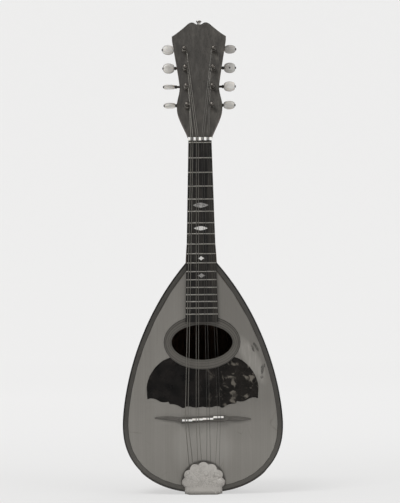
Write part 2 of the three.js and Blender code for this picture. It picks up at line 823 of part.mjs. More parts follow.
// Worm thread along X: a crest faces the wheel at X = 0
function makeThread() {
  const { root, crest } = toothShares();
  const profile = [
    [-root, wormRoot],
    [-crest, wormOuter],
    [crest, wormOuter],
    [root, wormRoot],
  ];
  const turns = Math.ceil(worm.length / leadPitch) + 3;
  const rows = [];
  for (let turn = 0; turn <= turns; turn += 1) {
    for (const [share, radius] of profile) {
      rows.push({ along: (turn - turns / 2 + share) * leadPitch, radius });
    }
  }
  const lift = (turns % 2) * leadPitch / 2;
  const columns = worm.steps;
  const count = rows.length;
  const points = [];
  for (let column = 0; column < columns; column += 1) {
    const angle = 2 * Math.PI * column / columns;
    for (const { along, radius } of rows) {
      const x = along + lift + leadPitch * column / columns;
      points.push(new THREE.Vector3(x, radius * Math.sin(angle), -radius * Math.cos(angle)));
    }
  }
  const at = (column, row) => {
    if (column < columns) return column * count + row;
    return row + profile.length;
  };
  const faces = [];
  for (let column = 0; column < columns; column += 1) {
    const wraps = column === columns - 1;
    const last = wraps ? count - profile.length - 1 : count - 1;
    for (let row = 0; row < last; row += 1) {
      const [a, b] = [at(column, row), at(column, row + 1)];
      const [c, d] = [at(column + 1, row), at(column + 1, row + 1)];
      faces.push([a, b, d], [a, d, c]);
    }
  }
  const lowLoop = [];
  for (let column = 0; column < columns; column += 1) lowLoop.push(column * count);
  for (let row = profile.length; row > 0; row -= 1) lowLoop.push(row);
  const highLoop = [];
  for (let column = 0; column < columns; column += 1) highLoop.push(column * count + count - 1);
  const seamColumn = (columns - 1) * count;
  const wrapRow = count - profile.length - 1;
  const highEnd = [];
  for (let row = count - 2; row >= wrapRow; row -= 1) highEnd.push(seamColumn + row);
  const close = (loop, x) => {
    const hub = points.push(new THREE.Vector3(x, 0, 0)) - 1;
    return loop.map((point, i) => [point, loop[(i + 1) % loop.length], hub]);
  };
  const low = close(lowLoop, points[0].x);
  const high = close([...highLoop, ...highEnd], points[count - 1].x);
  faces.push(...low, ...high.map(([a, b, c]) => [b, a, c]));
  return closedGeometry(points, faces);
}

const buttonReach = (row) => button.reach - button.rowStep * (row - 1);
const wheelPlace = ({ side, row }) => new THREE.Vector3(side * rowOffset(row), 0, rowLine(row));
const wormPlace = (item) => wheelPlace(item).add(new THREE.Vector3(0, gearCentre, wormDistance));

function makeWorm({ side, row }) {
  const half = worm.length / 2;
  const drum = barAlongX(wormOuter + seam, -half, half, post.sides);
  const thread = common(makeThread(), drum);
  const centre = buttonReach(row) - rowOffset(row);
  const inner = centre - button.length / 2;
  const outer = centre + button.length / 2;
  const profile = [
    [0, -half - ear.thickness - worm.stub],
    [worm.shaftRadius, -half - ear.thickness - worm.stub],
    [worm.shaftRadius, inner - seam - collar.length],
    [collar.radius, inner - seam - collar.length],
    [collar.radius, inner - seam],
    [worm.shaftRadius, inner - seam],
    [worm.shaftRadius, outer + seam],
    [shaftTip.radius, outer + seam],
    [shaftTip.radius, outer + seam + shaftTip.length],
    [0, outer + seam + shaftTip.length],
  ];
  const shaft = new THREE.LatheGeometry(profile.map(([r, y]) => new THREE.Vector2(r, y)), worm.steps);
  return join(thread, shaft.rotateZ(side * -Math.PI / 2));
}

function makeButton({ side, row, buttonDegrees }) {
  const rings = [];
  for (let ring = 0; ring < button.rings; ring += 1) {
    const angle = Math.PI * (ring / (button.rings - 1));
    const along = -Math.cos(angle);
    const swell = (1 - Math.abs(along) ** button.curvePower) ** (1 / button.curvePower);
    const wide = THREE.MathUtils.lerp(button.neckRadius, button.width / 2, swell);
    const thick = THREE.MathUtils.lerp(button.neckRadius * buttonNeckShare, button.thickness / 2, swell);
    const points = [];
    for (let i = 0; i < button.sides; i += 1) {
      const turn = 2 * Math.PI * i / button.sides;
      const [y, z] = [thick * Math.cos(turn), wide * Math.sin(turn)];
      points.push(new THREE.Vector3(along * button.length / 2, y, z));
    }
    rings.push(points);
  }
  const bore = barAlongX(boreRadius(worm.shaftRadius, worm.steps), -overrun, overrun, worm.steps);
  const centre = side * (buttonReach(row) - rowOffset(row));
  return cut(loft(rings), bore).rotateX(radians(buttonDegrees)).translate(centre, 0, 0);
}

function makePost() {
  const end = gearCentre + gear.width / 2;
  const back = head.thickness + tuner.plateThickness;
  const profile = [
    [0, -post.capTop],
    [post.capRadius * capRoundShare, -post.capTop],
    [post.capRadius, -post.capTop + post.capHeight / 2],
    [post.capRadius, -post.capTop + post.capHeight],
    [post.waistRadius, -post.capTop + post.capHeight],
    [post.waistRadius, -post.waistFoot],
    [post.flangeRadius, -post.waistFoot],
    [post.flangeRadius, -seam],
    [post.shankRadius, -seam],
    [post.shankRadius, back + seam],
    [gear.hubRadius, back + seam],
    [gear.hubRadius, end + seam],
    [post.screwRadius, end + seam],
    [post.screwRadius, end + post.screwHeight],
    [0, end + post.screwHeight],
  ];
  const turned = new THREE.LatheGeometry(profile.map(([r, y]) => new THREE.Vector2(r, y)), post.sides);
  return join(turned, makeWheel());
}

// Plate on the headstock's back, with a pair of bearing ears for each worm
function makePlate(side) {
  const front = head.thickness;
  const back = front + tuner.plateThickness;
  const half = tuner.plateWidth / 2;
  const [top, bottom] = [rowLine(1) + wormDistance + tuner.plateEnd, rowLine(tuner.rows) - tuner.plateEnd];
  const lean = (tuner.firstOffset - tuner.lastOffset) / (firstRow - lastRow);
  const middleAt = (z) => side * (tuner.lastOffset + (z - lastRow) * lean);
  const strip = polygon([
    [middleAt(bottom) - half, bottom],
    [middleAt(bottom) + half, bottom],
    [middleAt(top) + half, top],
    [middleAt(top) - half, top],
  ]);
  let plate = slab(strip, front, back);
  const tools = [];
  for (const item of strings.filter((entry) => entry.side === side)) {
    const centre = wormPlace(item);
    for (const end of [-1, 1]) {
      const near = centre.x + end * (worm.length / 2 + seam);
      const far = near + end * ear.thickness;
      const wide = ear.width / 2;
      const span = [Math.min(near, far), Math.max(near, far)];
      plate = join(plate, box(span, [front, front + ear.rise], [centre.z - wide, centre.z + wide]));
    }
    const long = worm.length / 2 + 2 * ear.thickness + seam;
    const bore = barAlongX(boreRadius(worm.shaftRadius, worm.steps), -long, long, worm.steps);
    tools.push(bore.translate(centre.x, centre.y, centre.z));
    const place = wheelPlace(item);
    const hole = barAlongY(boreRadius(post.shankRadius, post.sides), 0, overrun, post.sides);
    tools.push(hole.translate(place.x, 0, place.z));
  }
  return cut(plate, ...tools);
}

function makeStrapButton() {
  const { flangeRadius, flangeThickness, neckRadius, neckLength, shankLength, sides } = strapButton;
  const profile = [
    [0, -shankLength + seam],
    [neckRadius, -shankLength + seam],
    [neckRadius, neckLength],
    [flangeRadius, neckLength + flangeThickness / 2],
    [flangeRadius, neckLength + flangeThickness],
    [0, neckLength + flangeThickness],
  ];
  const turned = new THREE.LatheGeometry(profile.map(([r, y]) => new THREE.Vector2(r, y)), sides);
  return turned.rotateX(Math.PI / 2).translate(0, strapDepth, strapSeat);
}

// Bridge and its stepped saddle
function makeBridge() {
  const half = bridge.width / 2;
  const centre = bridge.centreWidth / 2;
  const shoulder = centre * wingShares.shoulder;
  const handle = centre * wingShares.handle;
  const side = new THREE.Shape();
  side.moveTo(-half, 0);
  side.lineTo(half, 0);
  side.lineTo(half, -bridge.tipHeight);
  side.quadraticCurveTo(handle, -bridge.wingHeight, shoulder, -bridge.wingHeight);
  side.lineTo(centre, -bridge.height);
  side.lineTo(-centre, -bridge.height);
  side.lineTo(-shoulder, -bridge.wingHeight);
  side.quadraticCurveTo(-handle, -bridge.wingHeight, -half, -bridge.tipHeight);
  const front = new THREE.ExtrudeGeometry(side, {
    depth: 2 * bridge.length,
    bevelEnabled: false,
    curveSegments: bridgeWing.curveSteps,
  });
  front.translate(0, 0, bridgeLine - bridge.length);
  const plan = slab(bridgePlan(half, centre), -overrun, overrun);
  const seats = saddleSteps().map(({ from, to, z }) => {
    const reach = saddle.thickness / 2 + seam;
    return box([from - seam, to + seam], [-overrun, saddle.seat - bridge.height], [z - reach, z + reach]);
  });
  return cut(common(front, plan), ...seats);
}

// The bridge from above: pointed wings on a wider middle
function bridgePlan(half, centre) {
  const corners = [
    [centre, bridge.length / 2],
    [centre * wingShares.plan, bridgeWing.rootLength / 2],
    [half, bridgeWing.tipLength / 2],
  ];
  const below = corners.map(([x, z]) => [x, bridgeLine - z]);
  const above = corners.map(([x, z]) => [x, bridgeLine + z]).reverse();
  const right = [...below, ...above];
  const left = right.map(([x, z]) => [-x, z]).reverse();
  return polygon([...right, ...left]);
}

function saddleSteps() {
  const half = saddle.width / 2;
  return [
    { from: -half, to: -saddle.stepAt, z: bridgeLine - saddle.endOffset },
    { from: -saddle.stepAt, to: saddle.stepAt, z: bridgeLine - saddle.middleSetback },
    { from: saddle.stepAt, to: half, z: bridgeLine + saddle.endOffset },
  ];
}

const saddleTop = heightOverBridge - seam;

function makeSaddle() {
  const parts = saddleSteps().map(({ from, to, z }) => {
    const reach = saddle.thickness / 2;
    return box([from, to], [-saddleTop, saddle.seat - bridge.height], [z - reach, z + reach]);
  });
  return join(...parts);
}

// Tailpiece base: a plate with hooks and a flap over the tail end, in the tail's frame
const tailLine = (z) => (z - crease) / Math.cos(radians(body.cantDegrees));
const hookPlace = (i) => stringSpread.hooks * (i / (strings.length - 1) - 0.5);

function makeTailBase() {
  const half = base.width / 2;
  const top = -seam - base.thickness;
  const edge = tailLine(0) - seam - clasp.thickness - inlayGap;
  const plate = box([-half, half], [top, -seam], [edge - base.thickness, tailLine(base.top)]);
  const flapHalf = base.flapWidth / 2;
  const lean = base.flapDepth * cantSlope;
  const bend = -seam;
  const flap = crosswise(polygon([
    [top, edge - base.thickness],
    [bend, edge - base.thickness],
    [base.flapDepth, edge - base.thickness - lean],
    [base.flapDepth, edge - lean],
    [bend, edge],
    [top, edge],
  ]), -flapHalf, flapHalf);
  const pegs = strings.map((item, i) => {
    const peg = barAlongY(base.hookRadius, top - base.hookHeight, top + base.thickness / 2, base.hookSides);
    return peg.translate(hookPlace(i), 0, tailLine(base.hookLine));
  });
  return join(plate, flap, ...pegs);
}

// Edge of the tailpiece cover: scalloped lobes fanned round a centre, then a straight foot.
// Each point has its place, its height over the tail and the depth of the flute that leads to it.
function coverEdge() {
  const { lerp, smoothstep } = THREE.MathUtils;
  const reachDegrees = cover.lobeDegrees * cover.lobes / 2;
  const steps = cover.lobes * cover.stepsPerLobe;
  const edge = [];
  for (let step = 0; step <= steps; step += 1) {
    const degrees = lerp(-reachDegrees, reachDegrees, step / steps);
    const side = Math.abs(degrees) / reachDegrees;
    const lobe = degrees / cover.lobeDegrees;
    const scallop = (2 * (lobe - Math.round(lobe))) ** 2;
    const reach = lerp(cover.topReach, cover.sideReach, side ** cover.reachPower) - cover.notch * scallop;
    edge.push({
      x: reach * Math.sin(radians(degrees)),
      z: cover.fanCentre + reach * Math.cos(radians(degrees)),
      height: lerp(cover.topEdgeHeight, cover.sideEdgeHeight, smoothstep(side, ...coverEdgeShares)),
      flute: cover.flute * scallop,
    });
  }
  for (const share of coverFootShares) {
    const corner = smoothstep(Math.abs(share), ...coverCornerShares);
    edge.push({
      x: share * cover.footWidth / 2,
      z: -cover.foot,
      height: lerp(cover.crownHeight, cover.sideEdgeHeight, corner),
      flute: 0,
    });
  }
  return edge;
}

// Tailpiece cover: a fluted shell from its centre out to its edge, open at the top edge and at the foot
function makeCover() {
  const edge = coverEdge();
  const fan = tailLine(cover.fanCentre);
  const ringAt = (ring, offset) => edge.map(({ x, z, height, flute }) => {
    const share = ring / cover.rings;
    const dome = THREE.MathUtils.lerp(cover.crownHeight, height, share ** cover.dropPower);
    const dip = flute * share * (1 - share);
    return new THREE.Vector3(x * share, offset + dip - dome, fan + (tailLine(z) - fan) * share);
  });
  const rings = [];
  for (let ring = 1; ring <= cover.rings; ring += 1) rings.push(ringAt(ring, 0));
  for (let ring = cover.rings; ring > 0; ring -= 1) rings.push(ringAt(ring, cover.thickness));
  return loft(rings);
}

// Strings: route from the hook over saddle and nut to the post, then round it
class PointPath extends THREE.Curve {
  constructor(points) {
    super();
    this.points = points;
  }

  getPoint(t, target = new THREE.Vector3()) {
    const place = Math.min(Math.max(t, 0), 1) * (this.points.length - 1);
    const index = Math.min(Math.floor(place), this.points.length - 2);
    return target.lerpVectors(this.points[index], this.points[index + 1], place - index);
  }

  getUtoTmapping(u) {
    return u;
  }
}

// Place of a string across the strings: the spread of the courses and of the pair in each course
function courseLine(i, courses, pair) {
  const lastCourse = strings.length / 2 - 1;
  return courses * (Math.floor(i / 2) / lastCourse - 0.5) + pair * (i % 2 - 0.5);
}

function stringRoute(item, i) {
  const { side, row, radius, turns, startHeight } = item;
  const inTail = (x, y, z) => tailFrame.localToWorld(new THREE.Vector3(x, y, z));
  const inHead = (x, y, z) => headFrame.localToWorld(new THREE.Vector3(x, y, z));
  const loop = base.hookRadius + seam + radius;
  const loopHeight = -seam - base.thickness - base.hookHeight / 2;
  const hook = { x: hookPlace(i), z: tailLine(base.hookLine) };
  const points = [inTail(hook.x - loop, loopHeight, hook.z + 2 * loop)];
  for (let step = 0; step <= hookSteps; step += 1) {
    const angle = Math.PI * (1 + step / hookSteps);
    points.push(inTail(hook.x + loop * Math.cos(angle), loopHeight, hook.z + loop * Math.sin(angle)));
  }
  const saddleX = courseLine(i, stringSpread.bridgeCourses, stringSpread.bridgePair);
  const step = saddleSteps().find(({ from, to }) => saddleX >= from && saddleX <= to);
  const saddleY = -heightOverBridge - radius;
  points.push(new THREE.Vector3(saddleX, saddleY, step.z - saddle.thickness / 2));
  points.push(new THREE.Vector3(saddleX, saddleY, step.z + saddle.thickness / 2));
  const nutX = courseLine(i, stringSpread.nutCourses, stringSpread.nutPair);
  const nutY = -fretCrown - seam - radius;
  points.push(new THREE.Vector3(nutX, nutY, zeroFret));
  const overNut = new THREE.Vector3(nutX, nutY, nutTop);
  points.push(overNut);
  const windRadius = (post.waistRadius + windingGap / 2 + radius) / Math.cos(Math.PI / windingSteps);
  const rise = 2 * radius + windingGap;
  const centre = { x: side * rowOffset(row), z: rowLine(row) };
  const curls = Math.round(turns * windingSteps);
  for (let curl = 0; curl <= curls; curl += 1) {
    const angle = 2 * Math.PI * curl / windingSteps;
    const height = -startHeight + rise * curl / windingSteps;
    const x = centre.x - side * windRadius * Math.cos(angle);
    points.push(inHead(x, height, centre.z + windRadius * Math.sin(angle)));
  }
  return { points, nut: overNut, curls };
}

// Least gap of a winding to itself, measured on its points
function windingClearance({ points, curls }, radius) {
  const wound = points.slice(-curls - 1);
  let least = Infinity;
  wound.forEach((a, i) => wound.slice(i + windingSteps - 1).forEach((b) => {
    least = Math.min(least, a.distanceTo(b) - 2 * radius);
  }));
  return least;
}

function makeString({ points }, radius) {
  const section = [];
  for (let side = 0; side < stringSides; side += 1) {
    const angle = 2 * Math.PI * side / stringSides;
    section.push(new THREE.Vector2(radius * Math.cos(angle), radius * Math.sin(angle)));
  }
  return new THREE.ExtrudeGeometry(new THREE.Shape(section), {
    steps: points.length - 1,
    extrudePath: new PointPath(points),
    bevelEnabled: false,
  });
}

// Assembly
const mandolin = new THREE.Group();
mandolin.add(headFrame, tailFrame);

function add(name, geometry, material, parent = mandolin) {
  const mesh = new THREE.Mesh(geometry, material());
  mesh.name = name;
  parent.add(mesh);
  return mesh;
}

add('bowl', makeBowl(), rosewood);
add('neck_block', makeNeckBlock(), paleWood);
add('tail_block', makeTailBlock(), paleWood);
add('lining_left', makeLining(-1), paleWood);
add('lining_right', makeLining(1), paleWood);
add('brace_upper', makeBrace(holeTop + brace.overHole), paleWood);
add('brace_middle', makeBrace(holeBottom - brace.underHole), paleWood);
add('brace_lower', makeBrace(bridgeLine + brace.overBridge), paleWood);
add('soundboard', makeSoundboard(), spruce);
add('edge_binding', makeBinding(), darkBand);
add('rosette', makeRosette(), ringInlay);
add('pickguard', makePickguard(), tortoise);
add('tail_clasp', makeClasp(), rosewood);

add('neck', makeNeck(), mahogany);
add('fingerboard', makeFingerboard(), ebony);
markers.forEach((item) => add(`fret_marker_${item.fret}`, makeMarker(item), pearl));
add('headstock_veneer', makeVeneer(), rosewood, headFrame);
add('strap_button', makeStrapButton(), bone, headFrame);

const routes = strings.map(stringRoute);
add('nut', makeNut(routes), bone);
add('bridge', makeBridge(), ebony);
add('bridge_saddle', makeSaddle(), bone);
add('tailpiece_base', makeTailBase(), nickel, tailFrame);
add('tailpiece_cover', makeCover(), nickel, tailFrame);

add('tuner_plate_left', makePlate(-1), brass, headFrame);
add('tuner_plate_right', makePlate(1), brass, headFrame);
strings.forEach((item, i) => {
  const { name, side, radius } = item;
  add(`string_post_${name}`, makePost(), steel, headFrame).position.copy(wheelPlace(item));
  add(`worm_shaft_${name}`, makeWorm(item), steel, headFrame).position.copy(wormPlace(item));
  add(`tuning_button_${name}`, makeButton(item), ivory, headFrame).position.copy(wormPlace(item));
  add(`string_${name}`, makeString(routes[i], radius), side < 0 ? brass : steel);
  console.log(`winding of string ${name}: least gap ${windingClearance(routes[i], radius).toFixed(2)} mm`);
});

export default mandolin;
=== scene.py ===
import math

import bmesh
import bpy
from mathutils import Matrix, Vector


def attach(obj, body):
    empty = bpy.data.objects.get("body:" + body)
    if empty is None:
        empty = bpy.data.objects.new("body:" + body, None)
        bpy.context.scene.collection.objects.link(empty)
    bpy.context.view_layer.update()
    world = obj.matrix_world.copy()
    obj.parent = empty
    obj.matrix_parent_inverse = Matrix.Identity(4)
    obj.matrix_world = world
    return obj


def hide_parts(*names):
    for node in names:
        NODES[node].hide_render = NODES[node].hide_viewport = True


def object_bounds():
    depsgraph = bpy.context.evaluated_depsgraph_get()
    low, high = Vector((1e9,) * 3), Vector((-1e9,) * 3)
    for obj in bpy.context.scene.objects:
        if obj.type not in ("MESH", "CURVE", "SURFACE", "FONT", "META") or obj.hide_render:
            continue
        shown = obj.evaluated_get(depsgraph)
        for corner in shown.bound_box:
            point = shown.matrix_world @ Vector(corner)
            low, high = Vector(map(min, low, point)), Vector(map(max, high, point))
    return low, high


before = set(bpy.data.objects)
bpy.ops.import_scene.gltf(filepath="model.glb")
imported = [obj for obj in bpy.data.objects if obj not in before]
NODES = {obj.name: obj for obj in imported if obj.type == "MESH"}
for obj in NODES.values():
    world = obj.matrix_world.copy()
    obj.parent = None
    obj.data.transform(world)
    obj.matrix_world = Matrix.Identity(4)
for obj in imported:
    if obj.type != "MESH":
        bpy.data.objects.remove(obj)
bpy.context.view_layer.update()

# Each string and its tuner: side and row on the headstock, turn of the button in degrees, the button's shade, partly
# from the years and partly painted light, radius of the wire and height of its first turn round the post in millimetres
TUNERS = {
    "g1": (-1, 4, 80, 1.12, 0.43, 5.3), "g2": (-1, 3, 90, 1.1, 0.43, 8.2),
    "d1": (-1, 2, 14, 0.88, 0.32, 7), "d2": (-1, 1, 2, 0.92, 0.32, 7),
    "a1": (1, 1, 54, 0.7, 0.21, 7), "a2": (1, 2, 14, 0.68, 0.21, 7),
    "e1": (1, 3, 30, 0.97, 0.16, 7.6), "e2": (1, 4, 56, 0.88, 0.16, 4.8),
}
PINNED_BUTTON = "a2"

# Body, as in the CAD model
SEAM = 0.0002
BODY_LENGTH = 0.27685
HALF_WIDTH = 0.1929 / 2
NECK_JOINT_HALF = 0.0376 / 2
BOWL_DEPTH = 0.136
HEEL_DEPTH = 0.031
BOARD_THICKNESS = 0.0024
RIM_PLANE = BOARD_THICKNESS + SEAM
RIB_WALL = 0.0024
RIB_COUNT = 19
CANT = math.radians(9)
CANT_SOFTNESS = 0.022
TAIL_CURVE_POWER = 2.243
RIB_CURVE_POWER = 2.2
BELLY_HANDLE_SHARE = 0.0636
NECK_HANDLE_SHARE = 0.441
NECK_FLARE_SHARE = 0.85
SCALE_LENGTH = 0.330
BODY_FRET = 10
LAST_FRET = 17
ZERO_FRET = BODY_LENGTH + SCALE_LENGTH * (1 - 2 ** (-BODY_FRET / 12))
COMPENSATION = 0.0019
BRIDGE_LINE = ZERO_FRET - SCALE_LENGTH - COMPENSATION
CREASE = BRIDGE_LINE - 0.00774
HOLE_CENTRE = BODY_LENGTH - 0.09555
HOLE_HALVES = (0.0732 / 2, 0.0422 / 2)
ROSETTE_HALVES = (0.092 / 2, 0.0648 / 2)
BOARD_END = BODY_LENGTH - 0.07115
BOARD_TOP = ZERO_FRET + 0.0022
NUT_TOP = BOARD_TOP + SEAM + 0.0039
BOARD_HALVES = (0.0277 / 2, 0.0396 / 2)
FINGERBOARD_THICKNESS = 0.004

# Frames of the tilted headstock and of the canted tail
HEAD_TILT = math.radians(15)
HEAD_LENGTH = 0.1449
HEAD_HALF = 0.032
HEAD_THICKNESS = 0.014
VENEER = 0.0015
HEAD_FRAME = Matrix.Translation((0, -0.001, NUT_TOP + 0.0006)) @ Matrix.Rotation(-HEAD_TILT, 4, "X")
TAIL_FRAME = Matrix.Translation((0, 0, CREASE)) @ Matrix.Rotation(CANT, 4, "X")

# Tailpiece cover: a fan of lobes over a straight foot
COVER_LOBES = 7
LOBE_DEGREES = 29.6
LOBE_STEPS = 18
FOOT_STEPS = 28
COVER_RINGS = 28
COVER_SHELL = 0.0009
COVER_TOP_REACH = 0.0262
COVER_SIDE_REACH = 0.026
COVER_NOTCH = 0.0029
COVER_FAN = 0.012
COVER_FOOT = 0.0014
COVER_FOOT_HALF = 0.0454 / 2
COVER_CROWN = 0.008
COVER_TOP_EDGE = 0.0064
COVER_SIDE_EDGE = 0.0016
COVER_FLUTE = 0.0007


def lerp(a, b, share):
    return a + (b - a) * share


def smooth_share(value, low, high):
    share = min(1, max(0, (value - low) / (high - low)))
    return share * share * (3 - 2 * share)


def signed_power(value, power):
    return math.copysign(abs(value) ** power, value)


def round_turns(count):
    """Angles all round, in equal steps."""
    return [2 * math.pi * i / count for i in range(count)]


def half_turns(count):
    """Angles over half a turn, in equal steps."""
    return [math.pi * i / count for i in range(count + 1)]


def distances(points):
    """Way travelled along a row of points, up to each of them."""
    ways = [0.0]
    for before, point in zip(points, points[1:]):
        ways.append(ways[-1] + (point - before).length)
    return ways


# Camera, straight in front and far away, with the photograph's slight roll
METRES_PER_PIXEL = 0.001203
PHOTO_SIZE = (400, 503)
SENSOR_HEIGHT = 24
CAMERA_DISTANCE = 4.0
CAMERA_ROLL = math.radians(0.6)
GROUND_PIXEL = 493.0
AXIS_PIXEL = 201.1


def make_camera():
    camera = bpy.data.cameras.new("camera")
    camera.sensor_fit = "VERTICAL"
    camera.sensor_height = SENSOR_HEIGHT
    camera.lens = SENSOR_HEIGHT * CAMERA_DISTANCE / (PHOTO_SIZE[1] * METRES_PER_PIXEL)
    camera.clip_end = 100
    holder = bpy.data.objects.new("camera", camera)
    bpy.context.scene.collection.objects.link(holder)
    height = (GROUND_PIXEL - PHOTO_SIZE[1] / 2) * METRES_PER_PIXEL
    side = (PHOTO_SIZE[0] / 2 - AXIS_PIXEL) * METRES_PER_PIXEL
    holder.location = (side, -CAMERA_DISTANCE, height)
    turn = Matrix.Rotation(math.pi / 2, 3, "X") @ Matrix.Rotation(-CAMERA_ROLL, 3, "Z")
    holder.rotation_euler = turn.to_euler()
    bpy.context.scene.camera = holder


make_camera()


# Shaders. Colours are written as three steps of 0 to 255, as on a screen.
def tone(red, green, blue):
    """A screen colour as linear light."""
    shares = [step / 255 for step in (red, green, blue)]
    return (*(s / 12.92 if s <= 0.04045 else ((s + 0.055) / 1.055) ** 2.4 for s in shares), 1)


def dim(color, share):
    """A share of a screen colour's light."""
    return (*(part * share for part in tone(*color)[:3]), 1)


def operation(kind, flipped=False):
    """An arithmetic method that adds a Math node to the material."""
    def work(self, other=0.0):
        return self.finish.math(kind, other, self) if flipped else self.finish.math(kind, self, other)
    return work


class Value:
    """An output in a material's nodes. Arithmetic on it adds Math nodes."""
    __add__ = __radd__ = operation("ADD")
    __mul__ = __rmul__ = operation("MULTIPLY")
    __sub__ = operation("SUBTRACT")
    __rsub__ = operation("SUBTRACT", flipped=True)
    __truediv__ = operation("DIVIDE")
    __pow__ = operation("POWER")
    __abs__ = operation("ABSOLUTE")

    def __init__(self, finish, socket):
        self.finish = finish
        self.socket = socket


class Finish:
    """A material under construction: a Principled shader, its base colour so far and the nodes that feed it."""

    def __init__(self, name, base=None, **sockets):
        self.material = bpy.data.materials.new(name)
        self.material.use_nodes = True
        self.tree = self.material.node_tree
        self.shader = self.tree.nodes["Principled BSDF"]
        self.base = base
        for socket, value in sockets.items():
            self.shader.inputs[socket.replace("_", " ")].default_value = value
        self.place = self.node("TexCoord", output="Object")

    def node(self, kind, inputs=None, output=0, **settings):
        """Adds a node with its settings and inputs, and returns one of its outputs."""
        made = self.tree.nodes.new("ShaderNode" + kind)
        for setting, value in settings.items():
            setattr(made, setting, value)
        for socket, value in (inputs or {}).items():
            self.feed(made.inputs[socket], value)
        return Value(self, made.outputs[output])

    def feed(self, socket, value):
        if isinstance(value, Value):
            self.tree.links.new(value.socket, socket)
        else:
            socket.default_value = value

    def moved(self, scale=(1, 1, 1), location=(0, 0, 0), vector=None):
        return self.node("Mapping", {"Vector": vector or self.place, "Location": location, "Scale": scale})

    def noise(self, scale, stretch=(1, 1, 1), detail=4, rough=0.5, warp=0, vector=None, location=(0, 0, 0)):
        inputs = {"Vector": self.moved(stretch, location, vector), "Scale": scale, "Detail": detail}
        return self.node("TexNoise", {**inputs, "Roughness": rough, "Distortion": warp}, "Fac")

    def bands(self, period, axis, warp=0, detail=2, warp_scale=1, vector=None):
        inputs = {"Vector": vector or self.place, "Scale": 2 * math.pi / 20 / period}
        inputs.update({"Distortion": warp, "Detail": detail, "Detail Scale": warp_scale})
        return self.node("TexWave", inputs, "Fac", bands_direction=axis)

    def cracks(self, scale, stretch, width):
        """Hairlines between the cells of a net."""
        inputs = {"Vector": self.moved(stretch), "Scale": scale}
        net = self.node("TexVoronoi", inputs, "Distance", feature="DISTANCE_TO_EDGE")
        return self.ramp(net, (0.0, 1.0), (width, 0.0))

    def scratches(self, scale, stretch, width, patch, low, high):
        """Hairlines where the patches are high only."""
        return self.cracks(scale, stretch, width) * self.rise(patch, low, high)

    def math(self, kind, a, b=0.0, clamp=False):
        return self.node("Math", {0: a, 1: b}, operation=kind, use_clamp=clamp)

    def rest_of(self, value):
        """What is left of 1, and never under 0."""
        return self.math("SUBTRACT", 1.0, value, clamp=True)

    def ramp(self, value, *stops, smooth=False):
        source = self.node("ValToRGB", {"Fac": value}, "Color")
        ramp = source.socket.node.color_ramp
        ramp.interpolation = "EASE" if smooth else "LINEAR"
        for element, (position, color) in ((0, stops[0]), (1, stops[-1])):
            ramp.elements[element].position = position
            ramp.elements[element].color = self.shade(color)
        for position, color in stops[1:-1]:
            ramp.elements.new(position).color = self.shade(color)
        return source

    def rise(self, value, low, high, top=1.0):
        return self.ramp(value, (low, 0.0), (high, top))

    @staticmethod
    def shade(color):
        """A colour for a socket, from a grey number, a screen colour, linear light or an output."""
        if isinstance(color, (int, float)):
            return (color, color, color, 1)
        return tone(*color) if isinstance(color, tuple) and len(color) == 3 else color

    def mix(self, share, a, b, blend="MIX"):
        # The node repeats its socket names for each kind of value, so colours go by number
        inputs = {0: share, 6: self.shade(a), 7: self.shade(b)}
        return self.node("Mix", inputs, 2, data_type="RGBA", blend_type=blend)

    def paint(self, share, color):
        """Covers a share of the base colour with another one."""
        self.base = self.mix(share, self.base, color)

    def between(self, value, low, high):
        return self.node("MapRange", {"Value": value, "To Min": low, "To Max": high})

    def split(self, vector=None):
        parts = self.node("SeparateXYZ", {"Vector": vector or self.place})
        return [Value(self, socket) for socket in parts.socket.node.outputs]

    def joined(self, x, y, z):
        return self.node("CombineXYZ", {"X": x, "Y": y, "Z": z})

    def bump(self, height, distance, strength):
        return self.node("Bump", {"Height": height, "Distance": distance, "Strength": strength})

    def done(self, rough, height, distance, strength):
        links = {"Base Color": self.base, "Roughness": rough, "Normal": self.bump(height, distance, strength)}
        for socket, value in links.items():
            self.feed(self.shader.inputs[socket], value)
        return self.material


# Short scars in the play wear: place, half width, half height and slope of each
SCARS = [
    (0.0652, 0.1748, 0.0018, 0.0060, -0.5), (0.0610, 0.1734, 0.0016, 0.0050, -0.35),
    (0.0626, 0.1786, 0.0022, 0.0022, 0.0), (0.0722, 0.1480, 0.0021, 0.0072, 0.1),
    (0.0712, 0.1388, 0.0024, 0.0022, 0.0), (0.0750, 0.1526, 0.0010, 0.0028, 0.0),
]
SCAR_FRAY = 0.0055
# Painted light below the bridge: middle and half sizes of a paler patch under the strings
LIT_PATCH_MIDDLE, LIT_PATCH_HALVES = 0.058, (0.042, 0.05)
WEAR_MIDDLE, WEAR_HALVES = (0.0595, 0.16), (0.0125, 0.034)
# Painted contact shadow round the tailpiece cover: radius and half width of its ring
COVER_SHADOW_RADIUS = COVER_SIDE_REACH - 0.0006
COVER_SHADOW_HALF = 0.0026


